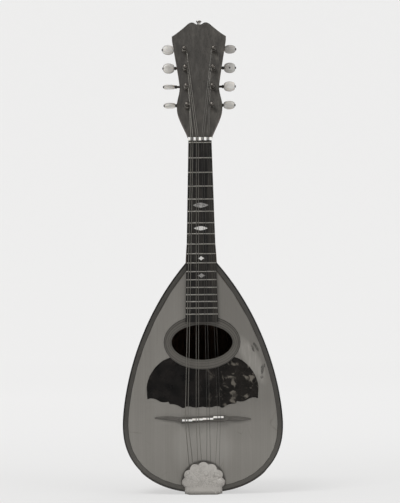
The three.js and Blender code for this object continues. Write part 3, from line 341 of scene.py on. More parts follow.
def spruce():
    """Varnished spruce top: book-matched straight grain, darkened by the years, worn and scratched beside the hole,
    with painted light below the bridge and a painted shadow round the tailpiece cover.
    """
    f = Finish("spruce", IOR=1.5, Specular_IOR_Level=0.3, Coat_Weight=0.1, Coat_Roughness=0.35)
    x, _, z = f.split()
    fold = abs(x)
    folded = f.joined(fold, 0.0, z)
    drift = f.noise(9, (1, 1, 0.5), detail=3, vector=folded)
    grain = f.joined(fold + drift * 0.006, 0.0, z)
    rings = f.noise(620, (1, 1, 0.008), detail=2, rough=0.6, vector=grain)
    wide = f.noise(150, (1, 1, 0.015), detail=3, vector=grain, location=(4, 0, 0))
    rays = f.noise(900, (0.16, 1, 1), detail=2, vector=folded)
    f.base = f.ramp(rings, (0.3, (130, 127, 121)), (0.5, (135, 132, 126)), (0.68, (140, 137, 131)))
    f.paint(0.3, f.ramp(wide, (0.3, (127, 123, 117)), (0.7, (143, 140, 134))))
    f.paint(f.between(rays, 0.0, 0.12), (158, 155, 149))
    cloud = f.noise(22, (1, 1, 0.6), detail=5, rough=0.6)
    f.paint(f.between(cloud, 0.0, 0.3), (112, 109, 103))
    # Darker towards the neck; below the bridge, painted light: a paler patch under the strings, lifting the shadow that
    # they and the bridge cast
    f.paint(f.rise(z, 0.12, 0.26, 0.4), (96, 93, 88))
    clean = abs(x / LIT_PATCH_HALVES[0]) ** 2.0 + abs((z - LIT_PATCH_MIDDLE) / LIT_PATCH_HALVES[1]) ** 2.0
    f.paint(f.ramp(clean, (0.0, 0.55), (1.0, 0.0), smooth=True), (164, 161, 155))
    # Darker towards the edges above the bridge, most on the treble side
    sides = f.ramp(x + 0.07, (0.0, 0.26), (0.05, 0.06), (0.075, 0.1), (0.1, 0.46))
    above = f.ramp(z, (0.055, 0.0), (0.085, 0.5), (0.112, 1.0))
    f.paint(sides * above, (88, 85, 80))

    def spot(across, middle, halves):
        away_x = (across - middle[0]) / halves[0]
        away_z = (z - middle[1]) / halves[1]
        return f.rest_of(away_x * away_x + away_z * away_z)

    # Pale play wear to the right of the hole, with short dark scars in it
    ragged = f.noise(75, (1, 1, 0.4), detail=6, rough=0.7, warp=0.5)
    thread = f.noise(330, (1, 1, 0.12), rough=0.65, location=(0, 0, 3))
    lean = x + (z - WEAR_MIDDLE[1]) * 0.5
    worn = f.rise(spot(lean, WEAR_MIDDLE, WEAR_HALVES) * f.between(ragged, 0.1, 1.6), 0.1, 0.6)
    f.paint(worn * f.ramp(thread, (0.4, 0.9), (0.56, 0.5)), (143, 140, 134))
    chips = f.noise(260, (1, 1, 0.6), detail=5, rough=0.7, location=(2, 0, 5))
    frayed = x + (chips - 0.5) * SCAR_FRAY
    scar = 0.0
    for middle_x, middle_z, half_width, half_height, slope in SCARS:
        across = frayed - (z - middle_z) * slope
        scar = f.math("MAXIMUM", scar, spot(across, (middle_x, middle_z), (half_width, half_height)))
    f.paint(f.rise(scar, 0.0, 0.6, 0.9) * f.ramp(chips, (0.36, 0.4), (0.52, 1.0)), (66, 64, 60))
    # Painted contact shadow: a dark ragged ring on the board round the tailpiece cover, where the cover shades it
    from_fan = f.math("SQRT", x * x + (z - COVER_FAN) ** 2.0)
    grime = f.rest_of(abs(from_fan - COVER_SHADOW_RADIUS) / COVER_SHADOW_HALF) * f.between(ragged, 0.45, 1.25)
    f.paint(grime, (56, 53, 49))
    scratch = f.scratches(60, (1, 1, 0.1), 0.012, f.noise(30, location=(7, 0, 1)), 0.52, 0.6)
    f.paint(scratch * 0.3, (88, 81, 72))
    rough = f.between(cloud, 0.36, 0.52) + worn * 0.16
    return f.done(rough, rings * 0.6 + scratch * -0.7 + worn * -0.5, 0.00012, 0.5)


def straight_wood(name, dark, middle, pale, axis=2, pore=0.5, rough=(0.38, 0.54), coat=0.08, period=0.003, streaks=0.0):
    """Varnished hardwood with figure and open pores running along one axis."""
    f = Finish(name, IOR=1.5, Specular_IOR_Level=0.25, Coat_Weight=coat, Coat_Roughness=0.25)
    tint = f.node("ObjectInfo", output="Random")
    place = f.node("VectorMath", {0: f.place, 1: f.joined(tint, tint * 3.7, tint)}, operation="ADD")
    along, fine = ([share if way == axis else 1 for way in range(3)] for share in (0.06, 0.022))
    drift = f.noise(14, along, vector=place)
    figure = f.noise(1 / period, along, detail=5, rough=0.62, warp=0.5, vector=place)
    threads = f.noise(1100, fine, detail=3, rough=0.7, vector=place)
    pores = f.rise(f.noise(1500, fine, detail=1, vector=place, location=(3, 1, 2)), 0.6, 0.7)
    f.base = f.ramp(figure, (0.28, dark), (0.5, middle), (0.7, pale))
    f.paint(f.between(drift, 0.05, 0.4), middle)
    f.paint(f.rise(drift, 0.46, 0.66, 0.42), dark)
    f.paint(f.between(threads, 0.0, 0.34), dark)
    if streaks:
        broad = f.noise(150, (1, 1, 0.03), detail=2, vector=place, location=(0.3, 0, 0.2))
        f.paint(f.rise(broad, 0.5, 0.66) * streaks, pale)
    f.paint(pores * pore, dim(dark, 0.35))
    handled = f.noise(30, detail=5, location=(1, 5, 2))
    return f.done(f.between(handled, *rough), threads * 0.5 - pores * 0.6, 0.0001, 0.35)


def rib_wood():
    """Rosewood rib: streaks follow the rib through its own UV, with a different cut of wood on each rib."""
    f = Finish("rosewood_rib", IOR=1.52, Coat_Weight=0.35, Coat_Roughness=0.16)
    tint = f.node("ObjectInfo", output="Random")
    offset = f.joined(tint * 9.0, tint * 5.0, 0.0)
    place = f.node("VectorMath", {0: f.node("UVMap", uv_map="rib"), 1: offset}, operation="ADD")
    figure = f.noise(170, (1, 0.05, 1), detail=5, rough=0.6, warp=0.9, vector=place)
    threads = f.noise(900, (1, 0.02, 1), detail=3, rough=0.7, vector=place)
    pores = f.rise(f.noise(1500, (1, 0.03, 1), detail=1, vector=place), 0.6, 0.7)
    ink = f.rise(f.noise(60, (1, 0.04, 1), warp=1.2, vector=place), 0.52, 0.62)
    f.base = f.ramp(figure, (0.3, (50, 39, 32)), (0.5, (76, 58, 46)), (0.7, (99, 76, 58)))
    f.paint(ink * 0.6, (35, 28, 24))
    f.paint(f.between(threads, 0.0, 0.4), (44, 34, 28))
    f.paint(pores * 0.55, (22, 17, 15))
    f.paint(f.between(tint, 0.0, 0.3), (88, 68, 53))
    worn = f.noise(18, detail=6, rough=0.65)
    scuff = f.scratches(70, (1, 1, 0.3), 0.01, worn, 0.54, 0.62)
    f.paint(scuff * 0.35, (120, 104, 88))
    return f.done(f.between(worn, 0.22, 0.42), threads * 0.4 - (pores + scuff), 0.00008, 0.4)


def tortoiseshell():
    """Dark mottled guard: near black on the bass side, warm pale clouds on the treble side."""
    f = Finish("tortoiseshell", IOR=1.54, Specular_IOR_Level=0.12)
    treble = f.ramp(f.split()[0] * 8.0 + 0.42, (0.25, 0.0), (0.85, 1.0), smooth=True)
    cloud = f.noise(105, (1, 1, 1.15), warp=0.7, location=(0.31, 0, 0.12))
    small = f.noise(210, rough=0.6, warp=0.6, location=(2, 0, 1))
    f.base = f.ramp(f.noise(60, detail=5), (0.4, (12, 11, 10)), (0.66, (30, 27, 25)))
    f.paint(f.between(treble, 0.0, 0.3), (38, 35, 31))
    f.paint(f.rise(small, 0.6, 0.68) * f.between(treble, 0.1, 0.8) * 0.5, (62, 57, 51))
    f.paint(f.rise(cloud, 0.56, 0.66) * treble * 0.9, (108, 103, 95))
    marks = f.scratches(110, (1, 1, 0.25), 0.012, f.noise(40, location=(0, 3, 5)), 0.5, 0.6)
    rough = f.between(f.noise(80, detail=5), 0.2, 0.36) + marks * 0.2
    return f.done(rough, f.noise(50) - marks, 0.00006, 0.4)


def ring_inlay():
    """Rosette of fine concentric inlaid lines, worked out from the two ellipses that bound it."""
    f = Finish("ring_inlay", IOR=1.5, Specular_IOR_Level=0.3, Coat_Weight=0.06, Coat_Roughness=0.3)
    x, _, z = f.split()
    lift = z - HOLE_CENTRE

    def reach(halves):
        return f.math("SQRT", abs(x / halves[0]) ** 2.0 + abs(lift / halves[1]) ** 2.0)

    inner = reach(HOLE_HALVES) - 1.0
    share = inner / (inner + (1.0 - reach(ROSETTE_HALVES)))
    black, dark, grey, pale = (24, 23, 21), (44, 42, 39), (84, 81, 76), (100, 97, 91)
    f.base = f.ramp(
        share, (0.0, dark), (0.07, black), (0.1, grey), (0.17, pale), (0.19, dark), (0.25, black), (0.27, grey),
        (0.42, grey), (0.48, pale), (0.5, dark), (0.55, dark), (0.57, pale), (0.63, grey), (0.76, grey),
        (0.78, dark), (0.82, dark), (0.84, grey), (0.93, grey), (0.95, dark), (1.0, black))
    f.paint(f.between(lift / -ROSETTE_HALVES[1], 0.0, 0.3), (118, 115, 109))
    grain = f.noise(420, detail=3, rough=0.6)
    f.paint(f.between(grain, 0.0, 0.24), (70, 67, 62))
    f.paint(f.between(f.noise(40, detail=5), 0.0, 0.2), (104, 100, 93))
    steps = f.ramp(share, (0.0, 0.2), (0.1, 0.6), (0.22, 0.2), (0.28, 0.8), (0.34, 0.2), (0.45, 0.7), (0.58, 0.2),
                   (0.63, 0.8), (0.69, 0.2), (0.8, 0.7), (0.89, 0.2), (1.0, 0.6))
    return f.done(f.between(grain, 0.3, 0.46), steps, 0.00012, 0.5)


def edge_wood(name, dark, pale, worn_tail):
    """Dark band round the soundboard, stained wood with grain along the edge through its own UV."""
    f = Finish(name, dark, IOR=1.5, Specular_IOR_Level=0.3, Coat_Weight=0.08, Coat_Roughness=0.25)
    along = f.node("UVMap", uv_map="band")
    grain = f.noise(700, (1, 0.03, 1), rough=0.65, vector=along)
    cloud = f.noise(40, (1, 0.3, 1), vector=along)
    worn = f.rise(f.noise(120, detail=6, rough=0.7), 0.6, 0.74)
    f.paint(f.between(grain, 0.0, 1.0), pale)
    f.paint(f.between(cloud, 0.0, 0.5), dark)
    f.paint(worn * 0.35, (118, 108, 96))
    tail = f.ramp(f.split()[2], (0.0, 1.0), (0.03, 0.9), (0.09, 0.0))
    f.paint(tail * worn_tail, (118, 115, 109))
    return f.done(f.between(cloud, 0.28, 0.46), grain - worn, 0.00008, 0.4)


def metal(name, color, rough, brushed=(1, 1, 1), grime=0.35, tarnish=(96, 90, 80)):
    """Worn metal: brushing in one direction, scratches and dark grime in patches."""
    f = Finish(name, color, Metallic=1.0, Anisotropic=0.2)
    brush = f.noise(900, brushed, detail=3, rough=0.65)
    dirt = f.rise(f.noise(120, detail=6, rough=0.68), 0.5, 0.72)
    lines = f.scratches(240, (1, 0.4, 0.2), 0.02, f.noise(60, location=(1, 2, 3)), 0.48, 0.62)
    f.paint(f.between(brush, 0.0, 0.3), dim(color, 0.72))
    f.paint(dirt * grime, tarnish)
    rough_value = f.between(brush, rough - 0.07, rough + 0.09) + dirt * 0.22
    return f.done(rough_value, brush * 0.5 - lines * 0.25, 0.00004, 0.35)


ENGRAVED_MIDDLE, ENGRAVED_HALF = 0.0165, 0.0125


def cover_metal():
    """Plated tailpiece cover: satin plate with fine engraved scrolls of line work, and rubbed spots."""
    f = Finish("cover_metal", (205, 201, 195), Metallic=0.55, Anisotropic=0.2)
    z = f.split()[2]
    brush = f.noise(1300, (1, 1, 0.08), detail=3, rough=0.6)
    dirt = f.rise(f.noise(75, detail=7, rough=0.7, location=(3, 0, 1)), 0.5, 0.7)
    swirl = f.noise(90, (1, 1, 1.3), detail=1, warp=1.4, location=(0.4, 0, 0.7))
    line = abs(f.math("FRACT", swirl * 7.0) - 0.5)
    low = f.rest_of(abs(z - ENGRAVED_MIDDLE) / ENGRAVED_HALF)
    engraved = f.ramp(line, (0.0, 1.0), (0.16, 0.0)) * f.rise(low, 0.1, 0.3)
    f.paint(f.between(brush, 0.0, 0.22), (180, 176, 169))
    f.paint(dirt * 0.4, (134, 130, 123))
    f.paint(engraved * 0.5, (110, 104, 95))
    # Painted shade along the lower edge of the foot, where the cover meets the board
    f.paint(f.ramp(z + COVER_FOOT, (0.0002, 0.6), (0.0016, 0.0)), (72, 69, 64))
    rough = f.between(brush, 0.36, 0.5) + dirt * 0.14
    return f.done(rough, brush * 0.35 - engraved * 0.9, 0.00006, 0.5)


def pale_solid(name, pale, middle, dark, scale=260, stretch=0.12, scatter=0.12, grooves=(), groove_half=1.0,
               dark_ends=False):
    """Bone or ivory-coloured plastic: fine streaks, faint clouds, and where strings cross, painted shade of the strings
    with some grime in their grooves.
    """
    f = Finish(name, IOR=1.53, Subsurface_Weight=scatter, Subsurface_Scale=0.002, Subsurface_Radius=(1.0, 0.8, 0.6),
               Coat_Weight=0.15, Coat_Roughness=0.2)
    streak = f.noise(scale, (stretch, 1, 1), rough=0.6, warp=0.6)
    cloud = f.noise(90, detail=5, rough=0.6)
    speck = f.rise(f.noise(1400, (1, 1, 0.2), detail=1), 0.66, 0.74)
    f.base = f.ramp(streak, (0.3, middle), (0.62, pale))
    f.paint(f.rise(cloud, 0.5, 0.78, 0.6), dark)
    f.paint(speck * 0.4, dark)
    x = f.split()[0]
    # Painted shade of the strings where they cross, with some grime in the grooves they have cut
    for groove in grooves:
        f.paint(f.rest_of(abs(x - groove) / groove_half) * 0.85, (58, 56, 52))
    if dark_ends:
        round_it, along_it, _ = f.split(f.node("UVMap", uv_map="button"))
        # Painted shade round the button's rim, and darker at both ends
        rim = abs(f.math("SINE", round_it * (2 * math.pi)))
        f.paint(f.rise(rim, 0.88, 1.0, 0.55), (104, 100, 94))
        f.paint(f.rise(abs(along_it), 0.88, 0.98, 0.9), (62, 59, 54))
    f.base = f.mix(1.0, f.base, f.node("ObjectInfo", output="Color"), blend="MULTIPLY")
    return f.done(f.between(cloud, 0.22, 0.38), streak * 0.4 - speck, 0.00005, 0.3)


def pearl_shell(name, lift):
    """Shell inlay: layered bands that shift between cool and warm greys, with fine cracks."""
    f = Finish(name, IOR=1.56, Coat_Weight=0.3, Coat_Roughness=0.1)
    layers = f.bands(0.0016, "DIAGONAL", warp=9, detail=3, warp_scale=2.2)
    cloud = f.noise(380, rough=0.6, warp=1.2)
    f.base = f.ramp(layers, (0.1, (112, 110, 107)), (0.5, (148, 146, 142)), (0.9, (178, 175, 171)))
    f.paint(f.between(cloud, 0.0, 0.6), (134, 133, 133))
    f.paint(lift, (244, 242, 238))
    crack = f.cracks(420, (1, 1, 1), 0.03)
    f.paint(crack * 0.25, (84, 80, 76))
    return f.done(f.between(cloud, 0.16, 0.34), layers - crack, 0.00003, 0.3)


def string_metal(name, color, period):
    """String wire: a wound string shows the turns of its wrap along its own UV."""
    f = Finish(name, color, Metallic=1.0)
    along = f.node("UVMap", uv_map="along")
    wrap = f.bands(period, "Y", vector=along)
    grime = f.noise(300, (1, 0.1, 1), detail=5, rough=0.7, vector=along)
    # Painted shade between the turns of the wrap
    f.paint(f.ramp(wrap, (0.0, 0.55), (0.35, 0.0)), dim(color, 0.5))
    f.paint(f.rise(grime, 0.45, 0.8, 0.7), dim(color, 0.5))
    # Painted light: brighter past the nut, where the wire over the tilted headstock catches the light from above
    f.paint(f.rise(f.split()[2], NUT_TOP, NUT_TOP + 0.004, 0.3), (200, 197, 190))
    return f.done(f.between(grime, 0.34, 0.52), wrap, 0.00005, 0.5)


NUT_SPREAD, NUT_PAIR = 0.0192, 0.0023
SADDLE_SPREAD, SADDLE_PAIR = 0.039, 0.0032


def string_across(string, spread, pair):
    """Sideways place of one string, with the four pairs spread out evenly."""
    return spread * ((string // 2) / 3 - 0.5) + pair * (string % 2 - 0.5)


BLACK_EDGE = edge_wood("black_edge", (14, 13, 12), (24, 23, 21), 0.24)
BAND_WOOD = edge_wood("band_wood", (56, 54, 51), (80, 77, 72), 0.4)
LINE_PALE = edge_wood("pale_line", (122, 112, 98), (150, 139, 122), 0.0)
SPRUCE = spruce()
RIB_WOOD = rib_wood()
NECK_WOOD = straight_wood("neck_wood", (60, 46, 37), (84, 65, 51), (103, 80, 62), coat=0.3)
HEAD_WOOD = straight_wood("headstock_wood", (46, 43, 40), (72, 69, 64), (96, 92, 86), coat=0.05, period=0.0042,
                          rough=(0.36, 0.52))
EBONY = straight_wood("fingerboard_wood", (16, 14, 13), (24, 22, 20), (68, 64, 58), coat=0.02, period=0.0022,
                      rough=(0.42, 0.58), pore=0.7, streaks=0.36)
BRIDGE_WOOD = straight_wood("bridge_wood", (72, 69, 65), (98, 95, 90), (116, 112, 106), axis=0, coat=0.04,
                            period=0.0018, rough=(0.4, 0.55))
CLASP_WOOD = straight_wood("clasp_wood", (44, 34, 28), (68, 52, 42), (90, 69, 54), axis=0, coat=0.35)
BLOCK_WOOD = straight_wood("block_wood", (124, 107, 83), (152, 133, 105), (172, 152, 122), coat=0.0,
                           rough=(0.6, 0.8), pore=0.25)
BRACE_WOOD = straight_wood("brace_wood", (132, 116, 90), (160, 142, 113), (178, 160, 131), axis=0, coat=0.0,
                           rough=(0.62, 0.8), pore=0.15)
TORTOISE = tortoiseshell()
RING_INLAY = ring_inlay()
COVER_METAL = cover_metal()
NICKEL = metal("nickel_plate", (178, 173, 164), 0.34, brushed=(0.1, 1, 1))
FRET_METAL = metal("fret_metal", (168, 165, 158), 0.36, brushed=(0.06, 1, 1), grime=0.25)
STEEL = metal("worn_steel", (150, 147, 142), 0.32, grime=0.45, tarnish=(78, 70, 62))
POST_METAL = metal("post_metal", (104, 100, 95), 0.32, grime=0.5, tarnish=(64, 60, 55))
DARK_METAL = metal("dark_metal", (62, 59, 55), 0.36, grime=0.5, tarnish=(36, 33, 30))
BUTTON_METAL = metal("button_metal", (196, 193, 188), 0.22, grime=0.2, tarnish=(84, 80, 74))
BRASS = metal("aged_brass", (158, 134, 86), 0.38, brushed=(1, 1, 0.08), grime=0.5, tarnish=(84, 72, 50))
GEAR_BRASS = metal("gear_brass", (176, 150, 98), 0.3, grime=0.4, tarnish=(92, 78, 54))
BONE_TONES = [(250, 248, 244), (240, 237, 231), (206, 201, 191)]
NUT_BONE = pale_solid("nut_bone", *BONE_TONES, groove_half=0.0024,
                      grooves=[string_across(string, NUT_SPREAD, 0) for string in range(0, 8, 2)])
SADDLE_BONE = pale_solid("saddle_bone", *BONE_TONES, groove_half=0.0008,
                         grooves=[string_across(string, SADDLE_SPREAD, SADDLE_PAIR) for string in range(8)])
IVORY = pale_solid("ivory_button", (226, 223, 218), (206, 203, 197), (160, 156, 149), scale=320, stretch=0.16,
                   scatter=0.18, dark_ends=True)
GREY_PEARL = pearl_shell("grey_pearl", 0.0)
BRIGHT_PEARL = pearl_shell("bright_pearl", 0.65)
WOUND = string_metal("wound_string", (140, 137, 130), 0.00022)
PLAIN = string_metal("plain_string", (98, 97, 94), 0.02)


# Meshes
def skin(rows, uv_name=None, uv=None, caps=True):
    """A mesh over rings of points, with caps on the first and last ring."""
    count = len(rows[0])
    faces = []
    for r in range(len(rows) - 1):
        for i in range(count):
            j = (i + 1) % count
            faces.append((r * count + i, r * count + j, (r + 1) * count + j, (r + 1) * count + i))
    if caps:
        faces.append(tuple(reversed(range(count))))
        faces.append(tuple(range((len(rows) - 1) * count, len(rows) * count)))
    mesh = bpy.data.meshes.new("skin")
    mesh.from_pydata([point for row in rows for point in row], [], faces)
    outward(mesh)
    if uv_name:
        layer = mesh.uv_layers.new(name=uv_name)
        for loop in mesh.loops:
            layer.data[loop.index].uv = uv(*divmod(loop.vertex_index, count))
    return mesh


def outward(mesh):
    """Joins points that coincide and turns all faces outwards."""
    work = bmesh.new()
    work.from_mesh(mesh)
    bmesh.ops.remove_doubles(work, verts=work.verts, dist=1e-8)
    bmesh.ops.recalc_face_normals(work, faces=work.faces)
    work.to_mesh(mesh)
    work.free()


def merged(*meshes):
    work = bmesh.new()
    for mesh in meshes:
        work.from_mesh(mesh)
    result = bpy.data.meshes.new("merged")
    work.to_mesh(result)
    work.free()
    return result


def turned(profile, place, sides=32):
    """A lathe form: (radius, height) pairs round the Y axis, moved to its place."""
    return skin([
        [place @ Vector((radius * math.cos(a), height, radius * math.sin(a))) for a in round_turns(sides)]
        for radius, height in profile
    ])


def slab(outline, front, back, place=Matrix.Identity(4)):
    """A prism: an outline in X and Z with a span of Y."""
    return skin([[place @ Vector((x, y, z)) for x, z in outline] for y in (front, back)])


def curve_point(points, share):
    """One point of a curve with any number of control points."""
    while len(points) > 1:
        points = [a.lerp(b, share) for a, b in zip(points, points[1:])]
    return points[0]


def bezier(points, steps):
    """Points along one curve in X and Z, without its first point."""
    controls = [Vector(point) for point in points]
    return [tuple(curve_point(controls, step / steps)) for step in range(1, steps + 1)]


def drawn(start, rows, place, steps):
    """An outline that follows rows of shares: two numbers for a line, four or six for a curve."""
    points = list(start)
    for row in rows:
        pairs = [place(*row[i:i + 2]) for i in range(0, len(row), 2)]
        points += bezier([points[-1], *pairs], 1 if len(row) == 2 else steps)
    return points


def mirrored(right):
    """A closed outline from its right half, which starts and ends on the middle line."""
    return right + [(-x, z) for x, z in reversed(right[1:-1])]


SHARP = math.radians(32)


def add_piece(name, mesh, material, slot, replaces=(), body="root", soften=0.0):
    """A piece in its place: smooth with crisp edges, riding on its body, and with softened corners."""
    mesh.name = name
    mesh.materials.append(material)
    mesh.shade_smooth()
    mesh.set_sharp_from_angle(angle=SHARP)
    piece = bpy.data.objects.new(name, mesh)
    bpy.context.scene.collection.objects.link(piece)
    if soften:
        add_bevel(piece, soften)
    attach(piece, body)
    if replaces:
        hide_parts(*replaces)
    return piece


def add_bevel(piece, width, harden=True):
    bevel = piece.modifiers.new("softened edges", "BEVEL")
    bevel.width = width
    bevel.segments = 2
    bevel.limit_method = "ANGLE"
    bevel.angle_limit = SHARP
    bevel.harden_normals = harden


def smooth_group():
    """A geometry node group that shades smooth and keeps edges sharp past an angle."""
    group = bpy.data.node_groups.new("shade by angle", "GeometryNodeTree")
    for way in ("INPUT", "OUTPUT"):
        group.interface.new_socket("Geometry", in_out=way, socket_type="NodeSocketGeometry")
    start, end, faces, edges, angle, small = (group.nodes.new(kind) for kind in (
        "NodeGroupInput", "NodeGroupOutput", "GeometryNodeSetShadeSmooth", "GeometryNodeSetShadeSmooth",
        "GeometryNodeInputMeshEdgeAngle", "FunctionNodeCompare"))
    edges.domain = "EDGE"
    small.operation = "LESS_THAN"
    small.inputs[1].default_value = SHARP
    for source, target in (
        (angle.outputs["Unsigned Angle"], small.inputs[0]), (start.outputs[0], faces.inputs["Geometry"]),
        (faces.outputs[0], edges.inputs["Geometry"]), (small.outputs[0], edges.inputs["Shade Smooth"]),
        (edges.outputs[0], end.inputs[0]),
    ):
        group.links.new(source, target)
    return group


SHADE_BY_ANGLE = smooth_group()
WELD_DISTANCE = 0.000005
FLAT = math.radians(0.6)


def dress(node, material, soften=0.0):
    """A CAD node that stays: its material, welded and cleaned faces, softened corners and smooth shading."""
    piece = NODES[node]
    piece.data.materials.clear()
    piece.data.materials.append(material)
    piece.modifiers.new("weld", "WELD").merge_threshold = WELD_DISTANCE
    clean = piece.modifiers.new("clean", "DECIMATE")
    clean.decimate_type = "DISSOLVE"
    clean.angle_limit = FLAT
    if soften:
        add_bevel(piece, soften, harden=False)
    piece.modifiers.new("shade", "NODES").node_group = SHADE_BY_ANGLE


# Outline of the body and the surface of its bowl
UPPER_LENGTH = BODY_LENGTH - CREASE
UPPER = [Vector(point) for point in (
    (HALF_WIDTH, CREASE),
    (HALF_WIDTH, CREASE + UPPER_LENGTH * BELLY_HANDLE_SHARE),
    (NECK_JOINT_HALF + UPPER_LENGTH * NECK_HANDLE_SHARE * NECK_FLARE_SHARE,
     BODY_LENGTH - UPPER_LENGTH * NECK_HANDLE_SHARE),
    (NECK_JOINT_HALF, BODY_LENGTH),
)]
NUDGE = 1e-3
CURVE_STEPS = 12


def outline_at(u):
    """Right half of the outline as (x, z): 0 at the tail, 1 at the widest place, 2 at the neck joint."""
    if u > 1:
        return curve_point(UPPER, u - 1)
    angle = u * math.pi / 2
    side = math.sin(angle) ** (2 / TAIL_CURVE_POWER)
    rise = 1 - max(0.0, math.cos(angle)) ** (2 / TAIL_CURVE_POWER)
    return Vector((HALF_WIDTH * side, CREASE * rise))


def inset_at(u, inset):
    """The outline moved inwards at one place."""
    along = outline_at(min(2.0, u + NUDGE)) - outline_at(max(0.0, u - NUDGE))
    along.normalize()
    outward_way = Vector((0, -1)) if u == 0 else Vector((along.y, -along.x))
    point = outline_at(u) - outward_way * inset
    if u == 2:
        point = point + along * ((BODY_LENGTH - point.y) / along.y)
    return point


def stations(count):
    """Places along the outline, as many below the widest place as above it."""
    return [i / count for i in range(count + 1)] + [1 + i / count for i in range(1, count + 1)]


def canted(x, y, z):
    """A point of the soundboard's plane, sloped back below the crease."""
    return Vector((x, y + max(0.0, CREASE - z) * math.tan(CANT), z))


def cant_slope(z, down):
    """How far the cant sets the bowl back: sharp at its rim, softer towards its deepest part."""
    soft = CANT_SOFTNESS * down
    drop = CREASE - z
    return math.tan(CANT) * (drop + math.sqrt(drop * drop + soft * soft)) / 2


def depth_ratio(z):
    """Depth of the bowl against its half width, at one height."""
    return lerp(BOWL_DEPTH / HALF_WIDTH, HEEL_DEPTH / NECK_JOINT_HALF, (z / BODY_LENGTH) ** 3)


def bowl_point(u, angle):
    edge = outline_at(u)
    across = signed_power(math.cos(angle), 2 / RIB_CURVE_POWER)
    down = abs(math.sin(angle)) ** (2 / RIB_CURVE_POWER)
    depth = edge.x * depth_ratio(edge.y) * down + RIM_PLANE + cant_slope(edge.y, down)
    return Vector((edge.x * across, depth, edge.y))


RIB_STATIONS = [u for u in stations(30) if u > 0]
RIB_COLUMNS = 5
RIB_BULGE = 0.0004
LINE_WIDTH = 0.0007
LINE_DEPTH = 0.0014


def rib_section(u, low, high):
    """Outer points across one rib at one station, and the way outwards."""
    first, last = bowl_point(u, low), bowl_point(u, high)
    ahead = bowl_point(min(2.0, u + NUDGE), (low + high) / 2)
    behind = bowl_point(u - NUDGE, (low + high) / 2)
    way = (last - first).cross(ahead - behind).normalized()
    middle = (first + last) / 2
    if way.dot(Vector((middle.x, middle.y - RIM_PLANE, 0))) < 0:
        way = -way
    return first, last, way


def make_rib(number):
    """One rib, slightly bulged between the lines at its sides."""
    low = math.pi * number / RIB_COUNT
    high = math.pi * (number + 1) / RIB_COUNT
    rows, middles, widths = [], [], []
    for u in RIB_STATIONS:
        first, last, way = rib_section(u, low, high)
        width = (last - first).length
        trim = min(0.2, LINE_WIDTH / 2 / max(width, 1e-6))
        start = 0 if number == 0 else trim
        end = 1 - (0 if number == RIB_COUNT - 1 else trim)
        outer, inner = [], []
        for column in range(RIB_COLUMNS + 1):
            share = lerp(start, end, column / RIB_COLUMNS)
            bulge = min(RIB_BULGE, width * 0.03) * 4 * share * (1 - share)
            point = first.lerp(last, share)
            outer.append(point + way * bulge)
            inner.append(point - way * min(RIB_WALL, width * 0.6 + 0.0006))
        rows.append(outer + inner[::-1])
        middles.append((first + last) / 2)
        widths.append(width)
    lengths = distances(middles)

    def uv(row, column):
        across = min(column, 2 * RIB_COLUMNS + 1 - column) / RIB_COLUMNS
        return ((across - 0.5) * widths[row], lengths[row])

    name = f"bowl_rib_{number + 1:02d}"
    add_piece(name, skin(rows, "rib", uv), RIB_WOOD, "rosewood_ribs", ["bowl"])


def make_rib_line(number):
    """Pale line let in between two ribs."""
    angle = math.pi * number / RIB_COUNT
    step = math.pi / RIB_COUNT
    rows, points = [], []
    for u in RIB_STATIONS:
        first, point, way = rib_section(u, angle - step, angle)
        _, last, way_after = rib_section(u, angle, angle + step)
        up = (way + way_after).normalized()
        side = (last - first).normalized()
        half = min(LINE_WIDTH / 2, (point - first).length * 0.2)
        deep = min(LINE_DEPTH, half * 4)
        rows.append([
            point - side * half + up * 0.00002,
            point + up * 0.00006,
            point + side * half + up * 0.00002,
            point + side * half - up * deep,
            point - side * half - up * deep,
        ])
        points.append(point)
    lengths = distances(points)
    mesh = skin(rows, "band", lambda row, column: (column * LINE_WIDTH / 2, lengths[row]))
    add_piece(f"bowl_line_{number:02d}", mesh, LINE_PALE, "block_wood", ["bowl"])


for rib in range(RIB_COUNT):
    make_rib(rib)
for rib in range(1, RIB_COUNT):
    make_rib_line(rib)


# Clasp over the rib ends at the tail: a thin wooden band bent to the bowl
CLASP_HALF = 0.076
CLASP_END_DEPTH = 0.016
CLASP_MIDDLE_DEPTH = 0.026
CLASP_THICKNESS = 0.0008
CLASP_COLUMNS = 60
CLASP_ROWS = 16
CLASP_NUDGE = 0.0004
CLASP_FLOOR = 0.0001
HALVINGS = 40


def tail_point(x, depth):
    """Point of the bowl's tail end at one place across and one depth behind the rim."""
    low, high = 0.0, 1.0
    for _ in range(HALVINGS):
        u = (low + high) / 2
        edge = outline_at(u)
        down = depth / max(edge.x * depth_ratio(edge.y), 1e-9)
        if (abs(x) / max(edge.x, 1e-9)) ** RIB_CURVE_POWER + down ** RIB_CURVE_POWER > 1:
            low = u
        else:
            high = u
    return Vector((x, depth + RIM_PLANE + cant_slope(edge.y, down), edge.y))


